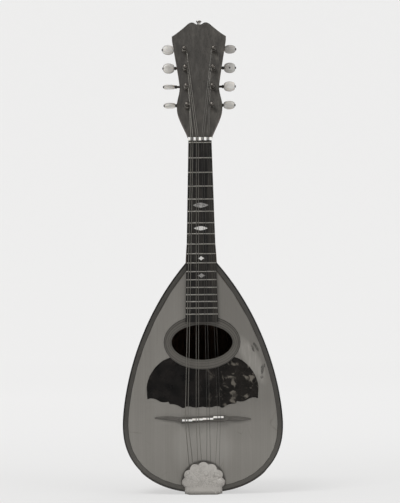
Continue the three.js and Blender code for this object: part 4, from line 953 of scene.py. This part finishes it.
def make_clasp():
    rows = []
    for column in range(CLASP_COLUMNS + 1):
        share = 2 * column / CLASP_COLUMNS - 1
        x = CLASP_HALF * math.sin(share * math.pi / 2)
        deep = lerp(CLASP_MIDDLE_DEPTH, CLASP_END_DEPTH, (x / CLASP_HALF) ** 2)
        lift = lerp(2 * CLASP_FLOOR, CLASP_THICKNESS, smooth_share(1 - abs(share), 0, 0.25))
        outer, inner = [], []
        for step in range(CLASP_ROWS + 1):
            depth = deep * step / CLASP_ROWS
            point = tail_point(x, depth)
            across = tail_point(x + CLASP_NUDGE, depth) - tail_point(x - CLASP_NUDGE, depth)
            down = tail_point(x, depth + CLASP_NUDGE) - tail_point(x, max(0.0, depth - CLASP_NUDGE))
            way = down.cross(across).normalized()
            if way.z > 0:
                way = -way
            outer.append(point + way * lift)
            inner.append(point + way * CLASP_FLOOR)
        rows.append(outer + inner[::-1])
    add_piece("clasp_band", skin(rows), CLASP_WOOD, "rosewood_ribs", ["tail_clasp"], soften=0.0002)


make_clasp()


# Bands round the soundboard's edge
EDGE_STATIONS = stations(40)
ROUNDING_SHARE = 0.29
UV_STEP = 0.0012


def edge_strip(name, outer, inner, front, back, material, round_by, replaces=()):
    """A strip that follows the edge from the right of the neck joint round the tail to the left."""
    rows = []
    route = [(u, 1) for u in reversed(EDGE_STATIONS)] + [(u, -1) for u in EDGE_STATIONS[1:]]
    for u, side in route:
        def at(inset, y):
            point = inset_at(u, inset)
            return canted(side * point.x, y, point.y)
        rows.append([
            at(outer, back),
            at(outer, front + round_by),
            at(outer + round_by * ROUNDING_SHARE, front + round_by * ROUNDING_SHARE),
            at(outer + round_by, front),
            at(inner, front),
            at(inner, back),
        ])
    lengths = distances([row[3] for row in rows])
    mesh = skin(rows, "band", lambda row, column: (column * UV_STEP, lengths[row]))
    add_piece(name, mesh, material, "dark_band", replaces)


edge_strip("edge_black", 0, 0.0017, 0, BOARD_THICKNESS + SEAM / 2, BLACK_EDGE, 0.0007, ["edge_binding"])
edge_strip("edge_band", 0.0017, 0.0063, -0.00002, BOARD_THICKNESS, BAND_WOOD, 0.0001, ["edge_binding"])
edge_strip("edge_line", 0.0063, 0.0067, -0.00001, BOARD_THICKNESS, BLACK_EDGE, 0.00005)

dress("soundboard", SPRUCE)
dress("rosette", RING_INLAY)

# Pickguard with a scalloped lower edge
GUARD_HALF = 0.1344 / 2
GUARD_TOP = HOLE_CENTRE - 0.0183
GUARD_HEIGHT = 0.0606
GUARD_GAP = 0.0003
GUARD_SPAN = (-0.0002, 0.00095)
ARC_STEPS = 40
GUARD_SHARES = [
    (0.579, 0), (0.744, 0.033, 0.975, 0.281, 1, 0.579), (0.987, 0.82), (0.893, 0.762, 0.759, 0.87),
    (0.677, 0.892, 0.61, 0.87), (0.6, 0.902, 0.588, 0.919), (0.476, 0.908, 0.372, 0.993),
    (0.335, 1.012, 0.298, 0.972), (0.23, 0.958, 0.177, 0.985), (0.09, 1, 0, 0.975),
]


def make_pickguard():
    """The guard's outline, with the rosette's ellipse cut out of its upper edge."""
    wide, tall = (half + GUARD_GAP for half in ROSETTE_HALVES)

    def place(across, down):
        return (GUARD_HALF * across, GUARD_TOP - GUARD_HEIGHT * down)

    outline = mirrored(drawn([(0, GUARD_TOP)], GUARD_SHARES, place, CURVE_STEPS))
    kept = [(x, z) for x, z in outline if (x / wide) ** 2 + ((z - HOLE_CENTRE) / tall) ** 2 > 1]
    first, last = (math.atan2((z - HOLE_CENTRE) / tall, x / wide) for x, z in (kept[0], kept[-1]))
    turns = [lerp(last, first, step / ARC_STEPS) for step in range(ARC_STEPS + 1)]
    arc = [(wide * math.cos(turn), HOLE_CENTRE + tall * math.sin(turn)) for turn in turns]
    mesh = slab(kept + arc, *GUARD_SPAN)
    add_piece("pickguard_shell", mesh, TORTOISE, "tortoiseshell", ["pickguard"], soften=0.00018)


make_pickguard()


# Bridge with leaf-shaped wings, set a little askew as in the photograph, and its stepped saddle.
# Each section: place across, half width, height and shift along the body
BRIDGE_SECTIONS = [
    (-0.058, 0.0004, 0.0009, 0.0012), (-0.0568, 0.0008, 0.0012, 0.0012), (-0.053, 0.0013, 0.0017, 0.0011),
    (-0.047, 0.0018, 0.0023, 0.001), (-0.041, 0.0022, 0.0028, 0.0006), (-0.036, 0.0024, 0.0029, 0.0001),
    (-0.031, 0.0025, 0.0030, -0.0006), (-0.0282, 0.0027, 0.0036, -0.0012), (-0.0268, 0.0032, 0.0048, -0.0017),
    (-0.0257, 0.0037, 0.0060, -0.0018), (-0.0246, 0.0038, 0.0062, -0.0018), (-0.012, 0.0038, 0.0062, -0.0015),
    (0.0, 0.0038, 0.0062, -0.0011), (0.012, 0.0039, 0.0062, -0.0006), (0.0246, 0.0040, 0.0062, -0.0002),
    (0.0262, 0.0038, 0.0059, -0.0002), (0.0282, 0.0032, 0.0048, -0.0003), (0.031, 0.0025, 0.0034, -0.0005),
    (0.036, 0.0027, 0.0030, -0.0007), (0.041, 0.0028, 0.0028, -0.0008), (0.047, 0.0023, 0.0023, -0.0009),
    (0.053, 0.0014, 0.0017, -0.0009), (0.0568, 0.0008, 0.0012, -0.001), (0.058, 0.0004, 0.0009, -0.001),
]


def make_bridge():
    """A loft over the sections, with steep sides and a broad top."""
    rows = []
    for x, half, height, shift in BRIDGE_SECTIONS:
        row = []
        for angle in half_turns(CURVE_STEPS):
            z = BRIDGE_LINE + shift + half * signed_power(math.cos(angle), 0.5)
            row.append(Vector((x, -height * math.sin(angle) ** 0.42, z)))
        row[0].y = row[-1].y = 0
        rows.append(row)
    add_piece("bridge_carved", skin(rows), BRIDGE_WOOD, "bridge_wood", ["bridge"])


make_bridge()

SADDLE_REACH = 0.0248
SADDLE_HALF = 0.0012
SADDLE_TOP = 0.009
SADDLE_FOOT = 0.0058
SADDLE_COLUMNS = 124
SADDLE_STEPS = [(-0.0127, -0.0019), (-0.0003, -0.0009), (0.0127, -0.0003), (SADDLE_REACH, 0.0016)]
SADDLE_SECTION = [(1, 0), (1, 0.7), (0.8, 0.9), (0.35, 1), (-0.35, 1), (-0.8, 0.9), (-1, 0.7), (-1, 0)]
GROOVE_DEPTH = 0.00035
GROOVE_HALF = 0.0007


def saddle_shift(x):
    """Each pair of strings has its own step of the saddle, so that it plays in tune."""
    return next(shift for end, shift in SADDLE_STEPS if x <= end)


def make_saddle():
    rows = []
    for column in range(SADDLE_COLUMNS + 1):
        x = lerp(-SADDLE_REACH, SADDLE_REACH, column / SADDLE_COLUMNS)
        near = min(abs(x - string_across(string, SADDLE_SPREAD, SADDLE_PAIR)) for string in range(8))
        top = SADDLE_TOP - GROOVE_DEPTH * max(0, 1 - near / GROOVE_HALF)
        middle = BRIDGE_LINE + saddle_shift(x)
        rows.append([(x, -lerp(SADDLE_FOOT, top, up), middle + SADDLE_HALF * side) for side, up in SADDLE_SECTION])
    add_piece("saddle_bone", skin(rows), SADDLE_BONE, "bone", ["bridge_saddle"])


make_saddle()


# Neck: a smooth shaft and heel, then the headstock with its face veneer
HEEL_REACH = 0.046
MIDDLE_DEPTH = 0.018
NUT_DEPTH = 0.014
BLEND = 0.015
NECK_CURVE_POWER = 2.1
NECK_STEPS = 32
HEAD_STEPS = 14
HEEL_RINGS = 16
SHAFT_RINGS = 8
HEAD_SHARES = [
    (0.569, 0.09, 0.859, 0.187, 0.859, 0.268), (0.859, 0.325, 0.744, 0.366, 0.744, 0.44),
    (0.744, 0.51, 1.006, 0.826, 1.028, 0.879), (0.82, 0.905, 0.42, 0.987), (0.3, 1.01, 0.18, 0.998),
    (0.1, 0.982, 0, 0.982),
]


def board_half(z):
    return lerp(BOARD_HALVES[0], BOARD_HALVES[1], (BOARD_TOP - z) / (BOARD_TOP - BOARD_END))


def neck_ring(z, front, depth, half):
    row = []
    for angle in half_turns(NECK_STEPS):
        across = signed_power(math.cos(angle), 2 / NECK_CURVE_POWER)
        down = abs(math.sin(angle)) ** (2 / NECK_CURVE_POWER)
        row.append(Vector((half * across, front + depth * down, z)))
    return row


def make_neck():
    rows = []
    for step in range(HEEL_RINGS + 1):
        share = step / HEEL_RINGS
        z = BODY_LENGTH + HEEL_REACH * share
        depth = lerp(RIM_PLANE + HEEL_DEPTH, MIDDLE_DEPTH, math.sin(share * math.pi / 2) ** 0.8)
        rows.append(neck_ring(z, 0, depth, lerp(NECK_JOINT_HALF, board_half(z), min(1, share / 0.5))))
    low = BODY_LENGTH + HEEL_REACH
    for step in range(1, SHAFT_RINGS + 1):
        share = step / SHAFT_RINGS
        half = lerp(board_half(low), BOARD_HALVES[0], share)
        rows.append(neck_ring(lerp(low, NUT_TOP, share), 0, lerp(MIDDLE_DEPTH, NUT_DEPTH, share), half))
    slope = math.tan(HEAD_TILT)
    face = BLEND * slope + VENEER
    back = (BLEND - 0.0006) * slope - 0.001 + HEAD_THICKNESS
    rows.append(neck_ring(NUT_TOP + BLEND, face, back - face, BOARD_HALVES[0]))
    add_piece("neck_shaft", skin(rows), NECK_WOOD, "neck_wood", ["neck"])


def make_head():
    def place(across, along):
        return (HEAD_HALF * across, HEAD_LENGTH * along)

    outline = mirrored(drawn([(0, 0), (BOARD_HALVES[0], 0)], HEAD_SHARES, place, HEAD_STEPS))
    core = slab(outline, VENEER + SEAM, HEAD_THICKNESS, HEAD_FRAME)
    add_piece("headstock_core", core, NECK_WOOD, "neck_wood", ["neck"], soften=0.0008)
    veneer = slab(outline, 0, VENEER, HEAD_FRAME)
    add_piece("headstock_face", veneer, HEAD_WOOD, "headstock_wood", ["headstock_veneer"], soften=0.0004)


make_neck()
make_head()
dress("strap_button", BUTTON_METAL, 0.0003)
dress("nut", NUT_BONE, 0.0003)


# Fingerboard with round frets, and its shell markers
FRET_HEIGHT = 0.00082
FRET_HALF = 0.00075
FRET_FOOT = 0.0004
FRET_INSET = 0.0003
FRET_END = [(0.0, 0.6), (0.0003, 0.92), (0.0007, 1.0)]    # pulled in from the end, share of the full height

# Fret, width, height, roundness of the sides, and whether the shell is bright
MARKERS = [
    (5, 0.019, 0.0061, 1.8, False), (7, 0.0166, 0.005, 1.8, True),
    (10, 0.0086, 0.0054, 0.7, True), (12, 0.010, 0.0058, 0.7, False),
]
MARKER_SPAN = (-0.00003, 0.0008)


def fret_line(number):
    return ZERO_FRET - SCALE_LENGTH * (1 - 2 ** (-number / 12))


def make_board():
    narrow, wide = BOARD_HALVES
    outline = [(-wide, BOARD_END), (wide, BOARD_END), (narrow, BOARD_TOP), (-narrow, BOARD_TOP)]
    blank = slab(outline, -FINGERBOARD_THICKNESS, 0)
    add_piece("fingerboard_blank", blank, EBONY, "fingerboard_wood", ["fingerboard"], soften=0.0004)


def make_fret(number):
    z = fret_line(number)
    half = board_half(z) - FRET_INSET
    rows = []
    for end, (pull, lift) in [(-1, ring) for ring in FRET_END] + [(1, ring) for ring in reversed(FRET_END)]:
        x = end * (half - pull)
        row = []
        for angle in half_turns(CURVE_STEPS):
            up = FINGERBOARD_THICKNESS + FRET_HEIGHT * math.sin(angle) ** 0.8 * lift
            row.append(Vector((x, -up, z + FRET_HALF * math.cos(angle))))
        row += [Vector((x, -FINGERBOARD_THICKNESS + FRET_FOOT, z + side * FRET_FOOT)) for side in (-1, 1)]
        rows.append(row)
    add_piece(f"fret_{number:02d}", skin(rows), FRET_METAL, "plated_metal", ["fingerboard"])


def make_marker(number, width, height, pull, bright):
    middle = (fret_line(number) + fret_line(number - 1)) / 2
    wide, tall = width / 2, height / 2
    points = [(-wide, middle)]
    for x, z in ((0, -1), (1, 0), (0, 1), (-1, 0)):
        handle = (wide * (x or z) * min(1, pull) / 2, middle + tall * (z or -x) * pull / 2)
        points += bezier([points[-1], handle, (wide * x, middle + tall * z)], 10)
    mesh = slab(points[:-1], *(depth - FINGERBOARD_THICKNESS for depth in MARKER_SPAN))
    shell = BRIGHT_PEARL if bright else GREY_PEARL
    add_piece(f"shell_{number:02d}", mesh, shell, "pearl", [f"fret_marker_{number}"], soften=0.00008)


make_board()
for number in range(LAST_FRET + 1):
    make_fret(number)
for marker in MARKERS:
    make_marker(*marker)


# Tailpiece: fluted cover over a base with hooks
HOOK_COUNT = 8
HOOK_SPREAD = 0.035
HOOK_LINE = 0.017
HOOK_RADIUS = 0.0009
CAP_HEIGHT = 0.0032
LOOP_HEIGHT = 0.0016
PLATE_THICKNESS = 0.0008
HOOK_PROFILE = [(0, -0.0006), (0.0009, -0.00055), (0.0013, -0.00025), (0.0013, 0.0001), (0.00095, 0.0003), (0, 0.0003)]


def tail_line(z):
    return (z - CREASE) / math.cos(CANT)


def hook_across(hook):
    return HOOK_SPREAD * (hook / (HOOK_COUNT - 1) - 0.5)


def cover_edge():
    """Points round the cover, each with its place, its height over the tail and the depth of its flute."""
    reach_degrees = COVER_LOBES * LOBE_DEGREES / 2
    steps = COVER_LOBES * LOBE_STEPS
    edge = []
    for step in range(steps + 1):
        degrees = lerp(-reach_degrees, reach_degrees, step / steps)
        side = abs(degrees) / reach_degrees
        lobe = degrees / LOBE_DEGREES
        scallop = min(1, 2 * abs(lobe - round(lobe))) ** 2
        reach = lerp(COVER_TOP_REACH, COVER_SIDE_REACH, side ** 2) - COVER_NOTCH * scallop
        turn = math.radians(degrees)
        height = lerp(COVER_TOP_EDGE, COVER_SIDE_EDGE, smooth_share(side, 0.45, 0.95))
        edge.append((reach * math.sin(turn), COVER_FAN + reach * math.cos(turn), height, COVER_FLUTE * scallop))
    for step in range(FOOT_STEPS + 1):
        share = 1 - 2 * step / FOOT_STEPS
        height = lerp(COVER_CROWN, COVER_SIDE_EDGE, smooth_share(abs(share), 0.7, 1))
        edge.append((share * COVER_FOOT_HALF, -COVER_FOOT, height, 0.0))
    return edge


def make_cover():
    edge = cover_edge()
    fan = tail_line(COVER_FAN)

    def ring_at(share, offset):
        row = []
        for x, z, height, flute in edge:
            dome = lerp(COVER_CROWN, height, share ** 5) - flute * share * (1 - share)
            row.append(TAIL_FRAME @ Vector((x * share, offset - dome, fan + (tail_line(z) - fan) * share)))
        return row

    shares = [ring / COVER_RINGS for ring in range(1, COVER_RINGS + 1)]
    rows = [ring_at(share, 0) for share in shares] + [ring_at(share, COVER_SHELL) for share in reversed(shares)]
    add_piece("tailpiece_shell", skin(rows), COVER_METAL, "plated_metal", ["tailpiece_cover"], "cover", 0.0002)


SCREW_RIM, SCREW_DOME, SCREW_SLOT = 0.35, 0.86, 0.18


def slotted_head(radius, height, place, turn):
    """A round screw head with a slot: a low disc and two halves of a dome."""
    rim = height * SCREW_RIM
    disc = turned([(0, 0), (radius, 0), (radius, rim), (0, rim)], place, 28)
    lift = place.to_3x3() @ Vector((0, height * 0.1, 0))
    halves = []
    for side in (0, math.pi):
        rows = []
        for ring in range(7):
            angle = math.pi / 2 * ring / 6 * SCREW_DOME
            reach = radius * math.cos(angle)
            start = math.asin(min(radius * SCREW_SLOT, reach * 0.9) / reach)
            row = []
            for step in range(15):
                sweep = lerp(start, math.pi - start, step / 14) + side
                point = Matrix.Rotation(turn, 3, "Y") @ Vector((reach * math.cos(sweep), 0, reach * math.sin(sweep)))
                point.y = height * (SCREW_RIM + (1 - SCREW_RIM) * math.sin(angle))
                row.append(place @ point)
            rows.append(row)
        halves.append(skin([[point - lift for point in rows[0]], *rows]))
    return merged(disc, *halves)


make_cover()
dress("tailpiece_base", NICKEL, 0.00012)
for hook in range(HOOK_COUNT):
    seat = (hook_across(hook), -SEAM - PLATE_THICKNESS - CAP_HEIGHT, tail_line(HOOK_LINE))
    place = TAIL_FRAME @ Matrix.Translation(seat)
    add_piece(f"hook_cap_{hook + 1}", turned(HOOK_PROFILE, place, 24), NICKEL, "plated_metal")


# Geared tuners
GEAR_TEETH = 14
GEAR_PITCH = 0.0046
GEAR_WIDTH = 0.0028
WORM_PITCH = 0.0022
WORM_LENGTH = 0.0062
WORM_STEPS = 96
LEAD = 2 * math.pi * GEAR_PITCH / GEAR_TEETH
MODULE = 2 * GEAR_PITCH / GEAR_TEETH
TOOTH_ROOT = 0.3391
TOOTH_CREST = 0.0784
GEAR_ROOT_RADIUS = GEAR_PITCH - 1.25 * MODULE
GEAR_OUTER_RADIUS = GEAR_PITCH + MODULE
GEAR_TOOTH = [(-TOOTH_ROOT, GEAR_ROOT_RADIUS), (-TOOTH_CREST, GEAR_OUTER_RADIUS), (TOOTH_CREST, GEAR_OUTER_RADIUS),
              (TOOTH_ROOT, GEAR_ROOT_RADIUS), (0.5, GEAR_ROOT_RADIUS)]
WORM_ROOT_RADIUS = WORM_PITCH - 1.25 * MODULE
WORM_OUTER_RADIUS = WORM_PITCH + MODULE
TUNER_PLATE = 0.0012
GEAR_CENTRE = HEAD_THICKNESS + TUNER_PLATE + 0.00175 + GEAR_WIDTH / 2
GEAR_TOP = GEAR_CENTRE + GEAR_WIDTH / 2 + SEAM
TOP_ROW, LOW_ROW = HEAD_LENGTH * 0.756, HEAD_LENGTH * 0.265
TOP_ROW_HALF, LOW_ROW_HALF = 0.0178, 0.015
BUTTON_LENGTH = 0.0134
BUTTON_REACH = 0.0376
BUTTON_STEP = 0.0006
BUTTON_RINGS = 24
BUTTON_POWER = 2.1
POST_WAIST = 0.0019
POST_PROFILE = [
    (0, -0.0114), (0.0012, -0.01138), (0.002, -0.01118), (0.00245, -0.0108), (0.0026, -0.01035), (0.0026, -0.0099),
    (0.0024, -0.0097), (0.00192, -0.0096), (POST_WAIST, -0.0093), (POST_WAIST, -0.0018), (0.0021, -0.0014),
    (0.003, -0.0014), (0.0034, -0.0011), (0.0034, -SEAM), (0.0027, -SEAM), (0.0027, 0.0154), (0.0033, 0.0154),
    (0.0033, GEAR_TOP), (0, GEAR_TOP),
]
PIN_PROFILE = [(0, -0.00262), (0.0007, -0.0026), (0.001, -0.0025), (0.001, -0.0022), (0, -0.0022)]


def row_place(side, row):
    share = (row - 1) / 3
    return side * lerp(TOP_ROW_HALF, LOW_ROW_HALF, share), lerp(TOP_ROW, LOW_ROW, share)


def make_post(tuner):
    side, row = TUNERS[tuner][:2]
    x, z = row_place(side, row)
    place = HEAD_FRAME @ Matrix.Translation((x, 0, z))
    body = f"post_{tuner}"
    node = f"string_post_{tuner}"
    add_piece(f"post_{tuner}_stem", turned(POST_PROFILE, place, 40), POST_METAL, "tuner_steel", [node], body)
    rows = []
    for level in (-1, -0.86, -0.4, 0, 0.4, 0.86, 1):
        y = GEAR_CENTRE + level * GEAR_WIDTH / 2
        twist = level * GEAR_WIDTH / 2 * (LEAD / (2 * math.pi * WORM_PITCH)) / GEAR_PITCH
        trim = 0.00018 if abs(level) == 1 else 0
        ring = []
        for number in range(GEAR_TEETH):
            for share, radius in GEAR_TOOTH:
                angle = (number + 0.5 + share) * 2 * math.pi / GEAR_TEETH + twist
                ring.append(place @ Vector(((radius - trim) * math.sin(angle), y, (radius - trim) * math.cos(angle))))
        rows.append(ring)
    add_piece(f"post_{tuner}_wheel", skin(rows), GEAR_BRASS, "tuner_brass", [node], body)
    screw = slotted_head(0.002, 0.001, place @ Matrix.Translation((0, GEAR_TOP, 0)), 0.7 * row + side)
    add_piece(f"post_{tuner}_screw", screw, STEEL, "tuner_steel", [node], body)


def worm_thread(place):
    rows = []
    for step in range(WORM_STEPS + 1):
        along = lerp(-WORM_LENGTH / 2, WORM_LENGTH / 2, step / WORM_STEPS)
        ring = []
        for angle in round_turns(32):
            phase = (along / LEAD - angle / (2 * math.pi)) % 1
            away = min(phase, 1 - phase)
            share = min(1, max(0, (TOOTH_ROOT - away) / (TOOTH_ROOT - TOOTH_CREST)))
            radius = lerp(WORM_ROOT_RADIUS, WORM_OUTER_RADIUS, share)
            ring.append(place @ Vector((along, radius * math.sin(angle), -radius * math.cos(angle))))
        rows.append(ring)
    return skin(rows)


def button_mesh(place, turn, out):
    """A flat oval button, its ends drawn out round the shaft."""
    rows = []
    for ring in range(BUTTON_RINGS + 1):
        along = -math.cos(math.pi * ring / BUTTON_RINGS)
        swell = max(0.0, 1 - abs(along) ** BUTTON_POWER) ** (1 / BUTTON_POWER)
        wide, thick = lerp(0.0021, 0.0063, swell), lerp(0.00189, 0.0025, swell)
        rows.append([
            place @ (turn @ Vector((along * BUTTON_LENGTH / 2, thick * math.cos(a), wide * math.sin(a))) + out)
            for a in round_turns(32)
        ])
    return skin(rows, "button", lambda row, column: (column / 32, -math.cos(math.pi * row / BUTTON_RINGS)))


def make_worm(tuner):
    side, row, degrees, age_and_light = TUNERS[tuner][:4]
    x, z = row_place(side, row)
    place = HEAD_FRAME @ Matrix.Translation((x, GEAR_CENTRE, z + GEAR_PITCH + WORM_PITCH))
    body = f"worm_{tuner}"
    node = f"worm_shaft_{tuner}"
    add_piece(f"worm_{tuner}_thread", worm_thread(place), STEEL, "tuner_steel", [node], body)
    centre = BUTTON_REACH - BUTTON_STEP * (row - 1) - abs(x)
    inner, outer = centre - BUTTON_LENGTH / 2, centre + BUTTON_LENGTH / 2
    profile = [
        (0, -0.0051), (0.001, -0.0051), (0.0012, -0.0049), (0.0012, 0.006), (0.0014, 0.0062), (0.0014, inner - 0.0024),
        (0.0019, inner - 0.0024), (0.0021, inner - 0.0022), (0.0021, inner - 0.0006), (0.0018, inner - SEAM),
        (0.0012, inner - SEAM), (0.0012, outer + SEAM), (0.0015, outer + SEAM), (0.0015, outer + 0.0007),
        (0.0011, outer + 0.0011), (0, outer + 0.0011),
    ]
    along_x = place @ Matrix.Rotation(-side * math.pi / 2, 4, "Z")
    add_piece(f"worm_{tuner}_shaft", turned(profile, along_x), DARK_METAL, "tuner_steel", [node], body)
    turn, out = Matrix.Rotation(math.radians(degrees), 4, "X"), Vector((side * centre, 0, 0))
    button = button_mesh(place, turn.to_3x3(), out)
    piece = add_piece(f"button_{tuner}", button, IVORY, "ivory_button", [f"tuning_button_{tuner}"], body, 0.0003)
    # Partly painted light: the button's own tone, lifted or dimmed for how the light falls on it
    piece.color = (age_and_light, age_and_light, age_and_light, 1)
    if tuner == PINNED_BUTTON:
        pin = turned(PIN_PROFILE, place @ Matrix.Translation(out) @ turn, 24)
        add_piece(f"button_{tuner}_pin", pin, DARK_METAL, "tuner_steel", body=body)


for tuner in TUNERS:
    make_post(tuner)
    make_worm(tuner)

ROW_STEP = (TOP_ROW - LOW_ROW) / 3
ROW_LEAN = (TOP_ROW_HALF - LOW_ROW_HALF) / (TOP_ROW - LOW_ROW)
PLATE_SCREWS = [LOW_ROW - 0.0065, *(LOW_ROW + ROW_STEP * row + 0.0137 for row in range(3)), TOP_ROW + 0.0119]

for side, plate in ((-1, "left"), (1, "right")):
    dress(f"tuner_plate_{plate}", BRASS, 0.0002)
    for number, z in enumerate(PLATE_SCREWS):
        x = side * (LOW_ROW_HALF + (z - LOW_ROW) * ROW_LEAN)
        seat = HEAD_FRAME @ Matrix.Translation((x, HEAD_THICKNESS + TUNER_PLATE, z))
        screw = slotted_head(0.0013, 0.0007, seat, number * 1.1 + side)
        add_piece(f"plate_screw_{plate}_{number + 1}", screw, STEEL, "tuner_steel")


# Strings, from a loop on the hook over saddle and nut to turns round the post
STRING_PLANE = 0.005
WINDING_STEPS = 58
STEPS_PER_TURN = 24
WINDING_GAP = 0.0005


def tube(points, radius, sides=10):
    """A tube through points, with u round it and v along it in metres."""
    rows = []
    side_way = (points[1] - points[0]).normalized().orthogonal().normalized()
    for i, point in enumerate(points):
        ahead, behind = points[min(i + 1, len(points) - 1)], points[max(i - 1, 0)]
        along = (ahead - behind).normalized()
        side_way = (side_way - along * side_way.dot(along)).normalized()
        up = along.cross(side_way)
        rows.append([point + side_way * radius * math.cos(a) + up * radius * math.sin(a) for a in round_turns(sides)])
    lengths = distances(points)
    return skin(rows, "along", lambda row, column: (column * radius * 0.6, lengths[row]))


def make_string(index, tuner):
    side, row, _, _, radius_mm, start_mm = TUNERS[tuner]
    x, z = row_place(side, row)
    radius = radius_mm / 1000
    loop = HOOK_RADIUS + SEAM + radius
    hook_x, hook_z = hook_across(index), tail_line(HOOK_LINE)
    height = -SEAM - PLATE_THICKNESS - LOOP_HEIGHT
    points = [TAIL_FRAME @ Vector((hook_x - loop, height, hook_z + 2 * loop))]
    for step in range(CURVE_STEPS + 1):
        angle = math.pi * (1 + step / CURVE_STEPS)
        points.append(TAIL_FRAME @ Vector((hook_x + loop * math.cos(angle), height, hook_z + loop * math.sin(angle))))
    across = string_across(index, SADDLE_SPREAD, SADDLE_PAIR)
    seat = BRIDGE_LINE + saddle_shift(across)
    points += [Vector((across, -SADDLE_TOP - radius, seat + end * SADDLE_HALF)) for end in (-1, 1)]
    nut_x = string_across(index, NUT_SPREAD, NUT_PAIR)
    points += [Vector((nut_x, -STRING_PLANE - radius, end)) for end in (ZERO_FRET, NUT_TOP)]
    wind = POST_WAIST + WINDING_GAP / 2 + radius
    rise = 2 * radius + WINDING_GAP
    for step in range(WINDING_STEPS):
        angle = 2 * math.pi * step / STEPS_PER_TURN
        down = -start_mm / 1000 + rise * step / STEPS_PER_TURN
        points.append(HEAD_FRAME @ Vector((x - side * wind * math.cos(angle), down, z + wind * math.sin(angle))))
    wound = tuner[0] in "gd"
    material, slot = (WOUND, "wound_string") if wound else (PLAIN, "plain_string")
    add_piece(f"wire_{tuner}", tube(points, radius), material, slot, [f"string_{tuner}"])


for index, tuner in enumerate(TUNERS):
    make_string(index, tuner)

# Inside the bowl
for node in ("neck_block", "tail_block", "lining_left", "lining_right"):
    dress(node, BLOCK_WOOD)
for node in ("brace_upper", "brace_middle", "brace_lower"):
    dress(node, BRACE_WOOD, 0.0004)


# Studio: a round sheet of pale paper, floor and backdrop in one, lit softly from above the front
BACKDROP_GLOW = 0.72
PAPER_GLOW = (0.95, 1.225)
WORLD_LIGHT = 0.55
GLOSSY_SHARE = 0.4
FLOOR_REACH = 5.0
BACKDROP_BEND = 0.9
BACKDROP_HEIGHT = 6.0


def studio_paper():
    """Paper that the camera sees all round, while light from the sky passes through its upright part."""
    f = Finish("studio_paper")
    grain = f.noise(900, detail=2)
    color = f.mix(f.between(grain, 0.0, 0.05), (234, 234, 234), (224, 224, 224))
    sheet = f.node("BsdfDiffuse", {"Color": color, "Roughness": 0.6, "Normal": f.bump(grain, 0.0001, 0.1)})
    # The lamps light the far parts less, so the paper glows a little more there
    away = f.math("DIVIDE", f.node("VectorMath", {0: f.place}, "Value", operation="LENGTH"), FLOOR_REACH, clamp=True)
    share = f.ramp(away, (0.0, 0.0), (0.1, 0.2), (0.28, 0.47), (0.55, 0.81), (1.0, 1.0))
    glow = f.node("Emission", {"Color": tone(235, 234.6, 234), "Strength": f.between(share, *PAPER_GLOW)})
    from_camera = f.node("LightPath", output="Is Camera Ray")
    both = f.node("MixShader", {0: from_camera * BACKDROP_GLOW, 1: sheet, 2: glow})
    upright = f.math("GREATER_THAN", f.split()[2], 0.0) * (1.0 - from_camera)
    through = f.node("MixShader", {0: upright, 1: both, 2: f.node("BsdfTransparent")})
    f.feed(f.tree.nodes["Material Output"].inputs["Surface"], through)
    return f.material


def make_studio():
    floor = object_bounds()[0][2]
    profile = [(0.0, floor), (1.0, floor), (2.5, floor), (FLOOR_REACH, floor)]
    for step in range(1, CURVE_STEPS + 1):
        angle = math.pi / 2 * step / CURVE_STEPS
        reach = FLOOR_REACH + BACKDROP_BEND * math.sin(angle)
        profile.append((reach, floor + BACKDROP_BEND * (1 - math.cos(angle))))
    profile.append((FLOOR_REACH + BACKDROP_BEND, floor + BACKDROP_HEIGHT))
    rows = [[Vector((reach * math.cos(a), reach * math.sin(a), z)) for a in round_turns(96)] for reach, z in profile]
    mesh = skin(rows, caps=False)
    mesh.materials.append(studio_paper())
    mesh.shade_smooth()
    sheet = bpy.data.objects.new("studio_sheet", mesh)
    bpy.context.scene.collection.objects.link(sheet)


def make_lamp(name, place, aim, size, power):
    lamp = bpy.data.lights.new(name, "AREA")
    lamp.shape = "RECTANGLE"
    lamp.size, lamp.size_y = size
    lamp.energy = power
    holder = bpy.data.objects.new(name, lamp)
    holder.location = place
    holder.rotation_euler = (Vector(place) - Vector(aim)).to_track_quat("Z", "Y").to_euler()
    holder.visible_camera = False
    bpy.context.scene.collection.objects.link(holder)


make_studio()
make_lamp("key_lamp", (-1.1, -2.0, 2.6), (0, 0, 0.3), (1.5, 1.1), 46)
make_lamp("fill_lamp", (1.9, -2.4, 1.0), (0, 0, 0.28), (1.6, 1.6), 14)
make_lamp("back_lamp", (0.6, 1.3, 2.2), (0, 0.05, 0.35), (1.6, 0.8), 14)

world = bpy.data.worlds.new("studio_air")
world.use_nodes = True
air = world.node_tree.nodes["Background"]
air.inputs["Color"].default_value = tone(241, 241, 241)
light_path = world.node_tree.nodes.new("ShaderNodeLightPath")
strength = world.node_tree.nodes.new("ShaderNodeMapRange")
strength.inputs["To Min"].default_value = WORLD_LIGHT
strength.inputs["To Max"].default_value = WORLD_LIGHT * GLOSSY_SHARE
world.node_tree.links.new(light_path.outputs["Is Glossy Ray"], strength.inputs["Value"])
world.node_tree.links.new(strength.outputs["Result"], air.inputs["Strength"])
bpy.context.scene.world = world
bpy.context.scene.view_settings.view_transform = "Standard"
